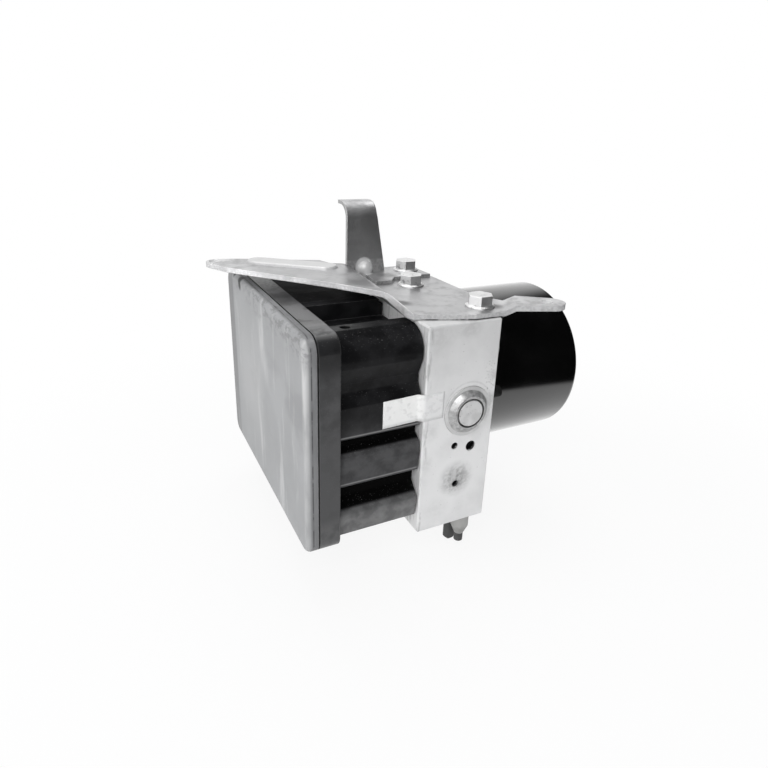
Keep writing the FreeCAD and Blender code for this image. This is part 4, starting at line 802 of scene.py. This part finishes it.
@dataclass(frozen=True)
class SheetZinc(Finish):
    """Zinc-plated sheet with rolling lines, cloudy plating and bright cut edges.

    Attributes:
        dull: colour of the dull plating on plate and wing.
        bright: colour of the cut edges, and of the painted highlight on the gusset.
        stain: colour of the stains and of the front bolt's painted shadow.
        stains_and_shadow: stained places as x, y, z, radius and strength; the two at the front bolt
            paint its shadow.
        wing_end: X over which wing and bead end towards the block.
        bead_end: place of the bead's dull end.
        gusset: place of the pressed gusset at the tab's foot.
        fixing_holes: places of the holes in wing and arm.
        zinc_metal: metallic level of dull grey zinc.
    """

    dull: Colour = (0.42, 0.42, 0.425)
    bright: Colour = grey(0.62)
    stain: Colour = grey(0.08)
    stains_and_shadow: tuple[tuple[float, ...], ...] = (
        (2.0, 27.5, 102.5, 6.0, 0.8),
        (16.0, 70.0, 104.3, 7.0, 0.6),
        (38.0, 9.0, 102.5, 5.5, 0.85),
        (33.0, 12.0, 103.5, 8.5, 0.35),
        (9.0, 62.0, 103.5, 9.0, 0.3),
    )
    wing_end: Range = (-9.0, -6.0)
    bead_end: Point = (-13.6, 70.0, 110.8)
    gusset: Point = (7.3, 78.0, 107.6)
    fixing_holes: tuple[Point, Point] = ((-63.4, 104.6, 108.75), (61.0, 0.8, 103.25))
    zinc_metal: float = 0.2

    def mark(self, tree: Tree, colour: Socket) -> Socket:
        """Add dull plate and wing, stains, cut edges, painted highlights on bead and gusset, painted
        shade on the tab and along the seam, painted light in the hole walls, and the front bolt's
        painted shadow.

        Args:
            tree: the material's tree.
            colour: the colour so far.

        Returns:
            The marked colour.
        """
        x, y, z = tree.where()
        plate = tree.product(tree.rise(x, -14.0, -2.0), tree.spread(x, 1.0, 0.3, 38.0, 46.0))
        colour = tree.lay(colour, self.dull, plate, 0.75)
        wing = tree.product(tree.rise(z, 108.6, 109.6), tree.spread(x, 0.0, 0.85, -62.0, -44.0))
        colour = tree.lay(colour, self.dull, wing, tree.fall(x, *self.wing_end))
        # Painted highlight: a pale stripe along the raised bead, with less cloud on it.
        bead_highlight = tree.product(tree.rise(z, 110.1, 111.3), tree.fall(x, *self.wing_end))
        colour = tree.lay(colour, grey(0.66), bead_highlight, 0.8)
        cloud = tree.spread(tree.noise(7.0, 6.0, roughness=0.65), 0.0, 0.35, 0.5, 0.68)
        colour = tree.lay(colour, grey(0.2), cloud, tree.spread(bead_highlight, 1.0, 0.3))
        # Stains, and at the front bolt a painted shadow that falls to its right.
        for *place, radius, strength in self.stains_and_shadow:
            spot = tree.near(place, radius * 0.2, radius)
            colour = tree.lay(colour, self.stain, spot, strength)
        wall, holes, gusset = self.wall(tree), self.holes(tree), self.pressed(tree)
        # Painted shade: the tab's upright face is painted darker grey, except at the gusset.
        upright = tree.product(wall, tree.spread(z, 0.0, 0.55, 103.4, 104.4))
        tab_shade = tree.product(upright, tree.rise(y, 75.5, 76.5), tree.rise(x, -4.0, -2.6))
        colour = tree.lay(colour, grey(0.32), tab_shade, tree.spread(gusset, 1.0, 0.0))
        rough = tree.spread(tree.noise(1.4, 4.0), 0.2, 0.75, 0.4, 0.6)
        outside = tree.math("SUBTRACT", 1.0, holes)
        edge = tree.blend(tree.rise(x, -10.0, -4.0), self.dull, self.bright)
        colour = tree.lay(colour, edge, wall, tree.fall(z, 110.5, 111.5), outside, rough)
        # Painted highlight: the pressed gusset is painted bright.
        colour = tree.lay(colour, self.bright, gusset)
        # Painted shade: a dashed near-black line on the plate's edge where it meets the block.
        dashes = tree.spread(tree.noise(6.0, 3.0), 0.4, 1.0, 0.4, 0.55)
        colour = tree.lay(colour, grey(0.01), wall, tree.fall(z, 100.3, 100.8), outside, dashes)
        # Painted light: the walls of the two fixing holes are painted pale.
        return tree.lay(colour, grey(0.75), wall, holes)

    def metal(self, tree: Tree) -> Socket:
        """Lower the metallic level on dull grey zinc: front edge, hole walls, bead end and gusset.

        Args:
            tree: the material's tree.

        Returns:
            The metallic level.
        """
        x, y, _ = tree.where()
        wall = self.wall(tree)
        dull = tree.product(wall, tree.fall(y, 16.0, 24.0), tree.rise(x, -6.0, 0.0))
        bead_end = tree.near(self.bead_end, 3.2, 5.5)
        for mask in (bead_end, self.pressed(tree), tree.product(wall, self.holes(tree))):
            dull = tree.math("MAXIMUM", dull, mask)
        return tree.spread(dull, self.metallic, self.zinc_metal)

    def wall(self, tree: Tree) -> Socket:
        """Return a mask of the upright faces."""
        return tree.fall(tree.math("ABSOLUTE", tree.facing(Z_AXIS)), 0.15, 0.5)

    def pressed(self, tree: Tree) -> Socket:
        """Return a mask of the pressed gusset."""
        return tree.near(self.gusset, 4.4, 5.6)

    def holes(self, tree: Tree) -> Socket:
        """Return a mask around the two fixing holes."""
        rims = [tree.near(hole, 3.2, 3.6) for hole in self.fixing_holes]
        return tree.math("MAXIMUM", *rims)

    def relief(self, tree: Tree, grain: Socket) -> Socket:
        """Return grain with rolling lines along the wing."""
        lines = tree.noise(0.4, 2.0, (40, 1, 1))
        return tree.math("ADD", grain, tree.math("MULTIPLY", lines, 0.4))


@dataclass(frozen=True)
class GrimyBolt(Finish):
    """Bolt plating with grime in spots, and painted shade on the facets that face the motor.

    Attributes:
        grime: colour of the grime, and of the painted shade on the facets.
    """

    grime: Colour = grey(0.1)

    def mark(self, tree: Tree, colour: Socket) -> Socket:
        """Add the painted shade on the facets that face +X, and the grime in spots.

        Args:
            tree: the material's tree.
            colour: the colour so far.

        Returns:
            The marked colour.
        """
        # Painted shade: the facets that face +X, away from the key light, are painted dark.
        shaded = tree.rise(tree.facing(X_AXIS), 0.35, 0.75)
        broken = tree.spread(tree.noise(2.2, 5.0), 0.45, 1.0, 0.38, 0.58)
        colour = tree.lay(colour, self.grime, shaded, broken, 0.8)
        spots = tree.spread(tree.noise(3.0, 5.0), 0.0, 0.6, 0.56, 0.7)
        return tree.lay(colour, self.grime, spots)


@dataclass(frozen=True)
class LabelFilm(Finish):
    """White film that is dull where it lies on the block.

    Attributes:
        dull: its colour on the block.
        smear: colour of faint smears.
    """

    dull: Colour = grey(0.76)
    smear: Colour = grey(0.5)

    def mark(self, tree: Tree, colour: Socket) -> Socket:
        """Add the dull end and the smears.

        Args:
            tree: the material's tree.
            colour: the colour so far.

        Returns:
            The marked colour.
        """
        colour = tree.lay(colour, self.dull, tree.rise(tree.where()[X_AXIS], -2.0, 1.0))
        return tree.lay(colour, self.smear, tree.spread(tree.noise(2.2, 4.0), 0.0, 0.3, 0.5, 0.66))


FINISHES: dict[Look, Finish] = {
    Look.COVER: ScuffedPlastic(
        "cover plastic", (0.27, 0.274, 0.279), (0.325, 0.328, 0.334), grey(0.5), edge_share=0.35,
        patch_roughness=0.62, specular=0.35, patch_size=30.0, grain_size=0.6, grain_depth=0.03,
        edge_radius=1.0),
    # The housing's pale edge colour is wear and also a painted highlight along its rib edges.
    Look.HOUSING: HousingPlastic(
        "housing plastic", (0.006, 0.006, 0.0065), (0.014, 0.014, 0.015), grey(0.2),
        edge_share=0.4, specular=0.01, coat=0.8, coat_roughness=0.3, patch_size=9.0,
        grain_size=0.4, grain_depth=0.015, edge_radius=0.6, speck_share=0.18, speck_size=0.45),
    Look.ALUMINIUM: StainedAluminium(
        "raw aluminium", grey(0.8), grey(0.72), grey(0.86), edge_share=0.15, patch_roughness=0.58,
        metallic=0.2, specular=0.3, patch_size=22.0, grain_size=0.35, grain_depth=0.03),
    Look.PLUG: TurnedPlug(
        "turned aluminium", grey(0.74), grey(0.64), grey(0.86), edge_share=0.5, roughness=0.36,
        patch_roughness=0.46, metallic=0.6, patch_size=6.0, grain_size=0.3, grain_depth=0.012,
        edge_radius=0.25),
    Look.ZINC: SheetZinc(
        "zinc plate", (0.68, 0.68, 0.685), (0.5, 0.5, 0.505), grey(0.78), edge_share=0.4,
        roughness=0.34, patch_roughness=0.48, metallic=0.86, patch_size=14.0, grain_depth=0.03,
        edge_radius=0.45),
    Look.BOLT: GrimyBolt(
        "bolt zinc", grey(0.76), grey(0.68), grey(0.9), edge_share=0.4, roughness=0.32,
        patch_roughness=0.4, metallic=0.9, patch_size=5.0, grain_size=0.4, grain_depth=0.03,
        edge_radius=0.25),
    Look.MOTOR: Finish(
        "motor paint", (0.0015, 0.0015, 0.0016), (0.0025, 0.0025, 0.0026), grey(0.03),
        edge_share=0.1, roughness=0.16, patch_roughness=0.22, specular=0.35, coat=1.0,
        coat_index=1.56, grain_size=0.8, grain_depth=0.004),
    Look.RUBBER: Finish(
        "rubber", grey(0.045), grey(0.065), grey(0.12), roughness=0.6, patch_roughness=0.75,
        patch_size=4.0, grain_size=0.3, grain_depth=0.02),
    Look.PEG: Finish(
        "peg plastic", (0.36, 0.36, 0.35), (0.28, 0.28, 0.27), grey(0.5), patch_size=5.0,
        grain_size=0.4, grain_depth=0.02),
    Look.LABEL: LabelFilm(
        "label paper", (0.88, 0.88, 0.87), (0.85, 0.85, 0.84), grey(0.8), edge_share=0.0,
        patch_size=5.0, grain_size=0.2, edge_radius=0.1),
    Look.STEEL: Finish(
        "machined steel", (0.5, 0.5, 0.51), (0.42, 0.42, 0.43), grey(0.7), edge_share=0.4,
        roughness=0.28, patch_roughness=0.4, metallic=1.0, patch_size=5.0, grain_size=0.3,
        edge_radius=0.2),
    Look.COPPER: Finish(
        "copper", (0.72, 0.38, 0.2), (0.6, 0.3, 0.16), (0.85, 0.5, 0.3), roughness=0.3,
        patch_roughness=0.4, metallic=1.0, patch_size=3.0, grain_size=0.25, grain_depth=0.03,
        edge_radius=0.2),
    Look.CONTACTS: Finish(
        "tinned contact", (0.72, 0.62, 0.42), (0.66, 0.56, 0.38), (0.85, 0.75, 0.55),
        roughness=0.25, patch_roughness=0.35, metallic=1.0, patch_size=2.0, grain_size=0.2,
        grain_depth=0.005, edge_radius=0.1),
    Look.BOARD: Finish(
        "circuit board", (0.03, 0.14, 0.06), (0.04, 0.18, 0.08), (0.1, 0.2, 0.1), edge_share=0.2,
        roughness=0.35, patch_roughness=0.45, patch_size=8.0),
    Look.MAGNET: Finish(
        "ferrite", (0.06, 0.06, 0.065), (0.08, 0.08, 0.085), grey(0.15), roughness=0.6,
        patch_roughness=0.7, patch_size=6.0, grain_size=0.4, grain_depth=0.03),
    Look.OILED: Finish(
        "oiled steel", grey(0.008), grey(0.014), grey(0.05), edge_share=0.1, roughness=0.6,
        patch_roughness=0.7, specular=0.08, patch_size=2.0, grain_size=0.3, grain_depth=0.005),
}

SLOT_FINISH: dict[str, Look] = {
    "cover_grey": Look.COVER,
    "black_plastic": Look.HOUSING,
    "inner_plastic": Look.HOUSING,
    "board": Look.BOARD,
    "contacts": Look.CONTACTS,
    "copper": Look.COPPER,
    "steel": Look.STEEL,
    "raw_aluminium": Look.ALUMINIUM,
    "zinc": Look.ZINC,
    "rubber": Look.RUBBER,
    "motor_black": Look.MOTOR,
    "magnet": Look.MAGNET,
    "carbon": Look.MAGNET,
    "peg_white": Look.PEG,
}
OWN_FINISH: dict[str, Look] = {
    "pump_plug_near": Look.PLUG,
    "pump_plug_far": Look.PLUG,
    "bracket_bolts": Look.BOLT,
    "drill_plugs": Look.OILED,
    "motor_flange": Look.OILED,
}


class Workshop:
    """Materials of all finishes, made once."""

    def __init__(self) -> None:
        """Build every material."""
        surface = make_surface_group()
        self.materials = {key: finish.material(surface) for key, finish in FINISHES.items()}

    def dress(self, piece: bpy.types.Object, key: Look) -> None:
        """Give a piece one finish."""
        piece.data.materials.clear()
        piece.data.materials.append(self.materials[key])

    def dress_nodes(self) -> None:
        """Give every CAD node its finish in its own material slots."""
        for part in frame["record"]["subparts"]:
            name = part["node"]
            key = OWN_FINISH.get(name, SLOT_FINISH[part["material_slot"]])
            for slot in frame["nodes"][name].material_slots:
                slot.material = self.materials[key]


def put_in(name: str, data: bpy.types.ID) -> bpy.types.Object:
    """Put a new object into the scene.

    Args:
        name: its name.
        data: its mesh, camera or lamp.

    Returns:
        The new object.
    """
    thing = bpy.data.objects.new(name, data)
    bpy.context.scene.collection.objects.link(thing)
    return thing


def new_piece(name: str, mesh: bmesh.types.BMesh) -> bpy.types.Object:
    """Turn a bmesh into a smooth piece that rides on the fixed body.

    Args:
        name: the piece's name.
        mesh: its form, which is freed.

    Returns:
        The new object.
    """
    data = bpy.data.meshes.new(name)
    bmesh.ops.recalc_face_normals(mesh, faces=mesh.faces)
    mesh.to_mesh(data)
    mesh.free()
    for polygon in data.polygons:
        polygon.use_smooth = True
    piece = put_in(name, data)
    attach(piece, FIXED_BODY)
    return piece


@dataclass
class Label:
    """Bare white label that runs from the housing onto the block.

    Attributes:
        low: height of its lower edge at its left end, from the block's foot.
        height: its height.
        left: X of its left end.
        right: X of its right end.
        climb: how much its right end sits higher.
        thickness: thickness of the film.
        side: distance of the housing's side from the block's near side.
        leaves: X where it leaves the housing.
        lands: X where it lies on the block.
        curled: X up to which it curls a little.
        curl: height of the curls.
        wave: how fast the curls follow each other along X.
        pressed: X from which it is pressed on, and the share of its thickness that then shows.
        steps: faces along the housing, over the step and along the block.
        rows: faces up its height.
    """

    low: float = 56.9
    height: float = 12.5
    left: float = -18.5
    right: float = 9.6
    climb: float = 0.9
    thickness: float = 0.08
    side: float = 2.3
    leaves: float = -2.6
    lands: float = 0.6
    curled: float = -3.0
    curl: float = 0.036
    wave: float = 0.9
    pressed: tuple[float, float] = (-1.0, 0.6)
    steps: tuple[int, int, int] = (14, 8, 9)
    rows: int = 6

    def path(self) -> list[tuple[float, float]]:
        """Give its run along the housing, over the step and onto the block.

        Returns:
            X and Y pairs from left to right.
        """
        before, over, after = self.steps
        length, gap, rest = self.leaves - self.left, self.lands - self.leaves, self.right - self.lands
        run = [(self.left + length * i / before, self.side) for i in range(before + 1)]
        for share in (i / over for i in range(1, over)):
            ease = share * share * (3 - 2 * share)
            run.append((self.leaves + gap * share, self.side * (1 - ease)))
        return run + [(self.lands + rest * i / after, 0.0) for i in range(after + 1)]

    def lift(self, x: float, row: int) -> float:
        """Give the film's distance from the wall that it lies on.

        Args:
            x: X of the point.
            row: its row, from the lower edge.

        Returns:
            The distance in millimetres.
        """
        start, share = self.pressed
        rest = self.thickness * (1.0 if x < start else share)
        if x >= self.curled:
            return rest
        return rest + self.curl * max(0.0, math.sin(x * self.wave + row))

    def build(self, workshop: Workshop) -> bpy.types.Object:
        """Build the film.

        Args:
            workshop: the materials.

        Returns:
            The label.
        """
        mesh = bmesh.new()
        columns = []
        for x, y in self.path():
            foot = self.low + self.climb * (x - self.left) / (self.right - self.left)
            column = []
            for row in range(self.rows + 1):
                z = foot + self.height * row / self.rows
                column.append(mesh.verts.new(from_corner(x, y - self.lift(x, row), z)))
            columns.append(column)
        for first, second in zip(columns, columns[1:]):
            for row in range(self.rows):
                mesh.faces.new((first[row], second[row], second[row + 1], first[row + 1]))
        piece = new_piece("label", mesh)
        sheet = piece.modifiers.new("film", "SOLIDIFY")
        sheet.thickness = self.thickness * MM
        sheet.offset = 0
        workshop.dress(piece, Look.LABEL)
        return piece


@dataclass
class AccumulatorSpring:
    """Coil spring that its piston presses towards the cap.

    Attributes:
        side: near or far.
        travel: how far the piston comes up, in millimetres; not used.
    """

    side: str
    travel: float = 6.0

    def build(self) -> bpy.types.Object:
        """Put a copy in the rigid spring's place.

        Returns:
            The spring.
        """
        node = f"accumulator_spring_{self.side}"
        rigid = frame["nodes"][node]
        piece = put_in(f"coil_{self.side}", rigid.data.copy())
        piece.matrix_world = rigid.matrix_world
        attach(piece, FIXED_BODY)
        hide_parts(node)
        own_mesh(piece)
        return piece


@dataclass
class Studio:
    """Floor, lamps, world and camera.

    Attributes:
        floor_level: height of the floor in the row frame, in metres.
        floor_radius: radius of the round floor in metres.
        floor_sides: corners of its outline.
        floor_fade: shares of the radius between which it turns quite white.
        floor_tone: colour of the floor.
        flag: direction of the dark flag that glossy surfaces show.
        flag_reach: distances along it between which the floor goes dark in them, in metres.
        flag_edge: how far a direction turns to it until the world goes dark in them.
        flag_tone: colour of the flag.
        sky_tone: colour of the even light.
        sky_strength: strength of the even light.
        sensor: width of the camera's sensor in millimetres.
        lens: focal length in millimetres.
        shift: lens shift across and up.
        clip: nearest and farthest distance that the camera sees, in metres.
        spot: the camera's place in the row frame.
        turn: the camera's axes as columns.
        aim: the lamps' target off the valve block's corner, in millimetres.
        lamps: name, place off the target in metres, side in metres and watts of each softbox.
    """

    floor_level: float = 0.0
    floor_radius: float = 0.55
    floor_sides: int = 96
    floor_fade: Range = (0.25, 0.7)
    floor_tone: Colour = grey(0.86)
    flag: Point = (0.8, -0.6, 0.0)
    flag_reach: Range = (0.200, 0.242)
    flag_edge: Range = (0.12, 0.36)
    flag_tone: Colour = grey(0.004)
    sky_tone: Colour = (0.97, 0.98, 1.0)
    sky_strength: float = 0.42
    sensor: float = 36.0
    lens: float = 27.183
    shift: tuple[float, float] = (-0.00173, -0.04456)
    clip: Range = (0.01, 20.0)
    spot: Point = (-0.052933, -0.293286, 0.065684)
    turn: tuple[Point, Point, Point] = (
        (0.894751, 0.130760, -0.426992),
        (-0.445446, 0.329006, -0.832666),
        (0.031604, 0.935231, 0.352625),
    )
    aim: Point = (18.0, 50.0, 50.0)
    lamps: tuple[tuple[str, Point, float, float], ...] = (
        ("key softbox", (-0.7, -0.95, 0.9), 0.9, 11.0),
        ("top softbox", (0.1, 0.35, 1.3), 1.0, 6.0),
        ("left softbox", (-1.3, 0.1, 0.25), 0.8, 7.5),
    )

    def make_camera(self) -> None:
        """Put the camera at the photograph's view."""
        data = bpy.data.cameras.new("camera")
        data.sensor_width = self.sensor
        data.lens = self.lens
        data.shift_x, data.shift_y = self.shift
        data.clip_start, data.clip_end = self.clip
        camera = put_in("camera", data)
        camera.matrix_world = Matrix.Translation(self.spot) @ Matrix(self.turn).to_4x4()
        bpy.context.scene.camera = camera

    def floor_material(self) -> bpy.types.Material:
        """Make the floor's material: matt, white towards its border, dark where the flag shows.

        Returns:
            The material.
        """
        material = bpy.data.materials.new("floor")
        material.use_nodes = True
        tree = Tree(material.node_tree)
        place = tree.spot()
        outward = tree.vector("LENGTH", place).outputs["Value"]
        border = [self.floor_radius * share for share in self.floor_fade]
        white = tree.product(self.shown(tree), tree.spread(outward, 0.88, 1.0, *border))
        toward = tree.vector("DOT_PRODUCT", place, self.flag).outputs["Value"]
        glossy = tree.add("ShaderNodeLightPath").outputs["Is Glossy Ray"]
        flagged = tree.product(tree.rise(toward, *self.flag_reach), glossy)
        matt = tree.add("ShaderNodeBsdfDiffuse", Color=self.floor_tone)
        glow = tree.add("ShaderNodeEmission", Strength=1.0)
        tree.feed(glow.inputs["Color"], tree.blend(flagged, grey(1.0), self.flag_tone))
        share = tree.math("MAXIMUM", white, flagged)
        tree.add("ShaderNodeOutputMaterial", Surface=tree.mix(share, matt, glow))
        return material

    def make_floor(self) -> None:
        """Lay a pale floor that takes the soft shadow and ends in the white background."""
        mesh = bmesh.new()
        bmesh.ops.create_circle(
            mesh, cap_ends=True, segments=self.floor_sides, radius=self.floor_radius)
        data = bpy.data.meshes.new("floor")
        mesh.to_mesh(data)
        mesh.free()
        data.materials.append(self.floor_material())
        floor = put_in("floor", data)
        floor.location = (CORNER.x, CORNER.y, self.floor_level)
        floor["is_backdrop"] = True

    def shown(self, tree: Tree) -> Socket:
        """Pick the rays that show the background: camera, transmission and glossy rays.

        Args:
            tree: the tree of the floor or the world.

        Returns:
            1 for those rays and 0 for the others.
        """
        path = tree.add("ShaderNodeLightPath").outputs
        shown = tree.math("ADD", path["Is Camera Ray"], path["Is Transmission Ray"])
        return tree.math("MINIMUM", tree.math("ADD", shown, path["Is Glossy Ray"]), 1.0)

    def make_world(self) -> None:
        """Light the scene evenly, with a white background and a dark flag for glossy surfaces."""
        world = bpy.data.worlds.new("studio")
        bpy.context.scene.world = world
        world.use_nodes = True
        tree = Tree(world.node_tree)
        direction = tree.add("ShaderNodeTexCoord").outputs["Generated"]
        toward = tree.vector("DOT_PRODUCT", direction, self.flag).outputs["Value"]
        low = tree.fall(tree.split(direction)[Z_AXIS], 0.85, 1.0)
        glossy = tree.add("ShaderNodeLightPath").outputs["Is Glossy Ray"]
        dark = tree.product(tree.rise(toward, *self.flag_edge), low, glossy)
        soft = tree.add("ShaderNodeBackground", Color=self.sky_tone, Strength=self.sky_strength)
        white = tree.add("ShaderNodeBackground", Strength=1.0)
        tree.feed(white.inputs["Color"], tree.blend(dark, grey(1.0), self.flag_tone))
        tree.add("ShaderNodeOutputWorld", Surface=tree.mix(self.shown(tree), soft, white))

    def make_lamps(self) -> None:
        """Hang the softboxes, each aimed at the block."""
        target = from_corner(*self.aim)
        for name, place, size, power in self.lamps:
            data = bpy.data.lights.new(name, "AREA")
            data.shape = "SQUARE"
            data.size = size
            data.energy = power
            spot = target + Vector(place)
            turning = (target - spot).to_track_quat("-Z", "Y").to_matrix().to_4x4()
            put_in(name, data).matrix_world = Matrix.Translation(spot) @ turning

    def build(self) -> None:
        """Make everything around the part."""
        self.make_camera()
        self.make_floor()
        self.make_world()
        self.make_lamps()
        bpy.context.scene.view_settings.view_transform = "Standard"


def main() -> None:
    """Build the pieces in order and report each."""
    workshop = Workshop()
    workshop.dress_nodes()
    log.info("dressed %d nodes", len(frame["nodes"]))
    label = Label().build(workshop)
    log.info("built %s", label.name)
    for side in ("near", "far"):
        log.info("built %s", AccumulatorSpring(side).build().name)
    Studio(floor_level=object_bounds()[0].z - FLOOR_GAP).build()
    log.info("studio ready")


if __name__ == "__main__":
    main()
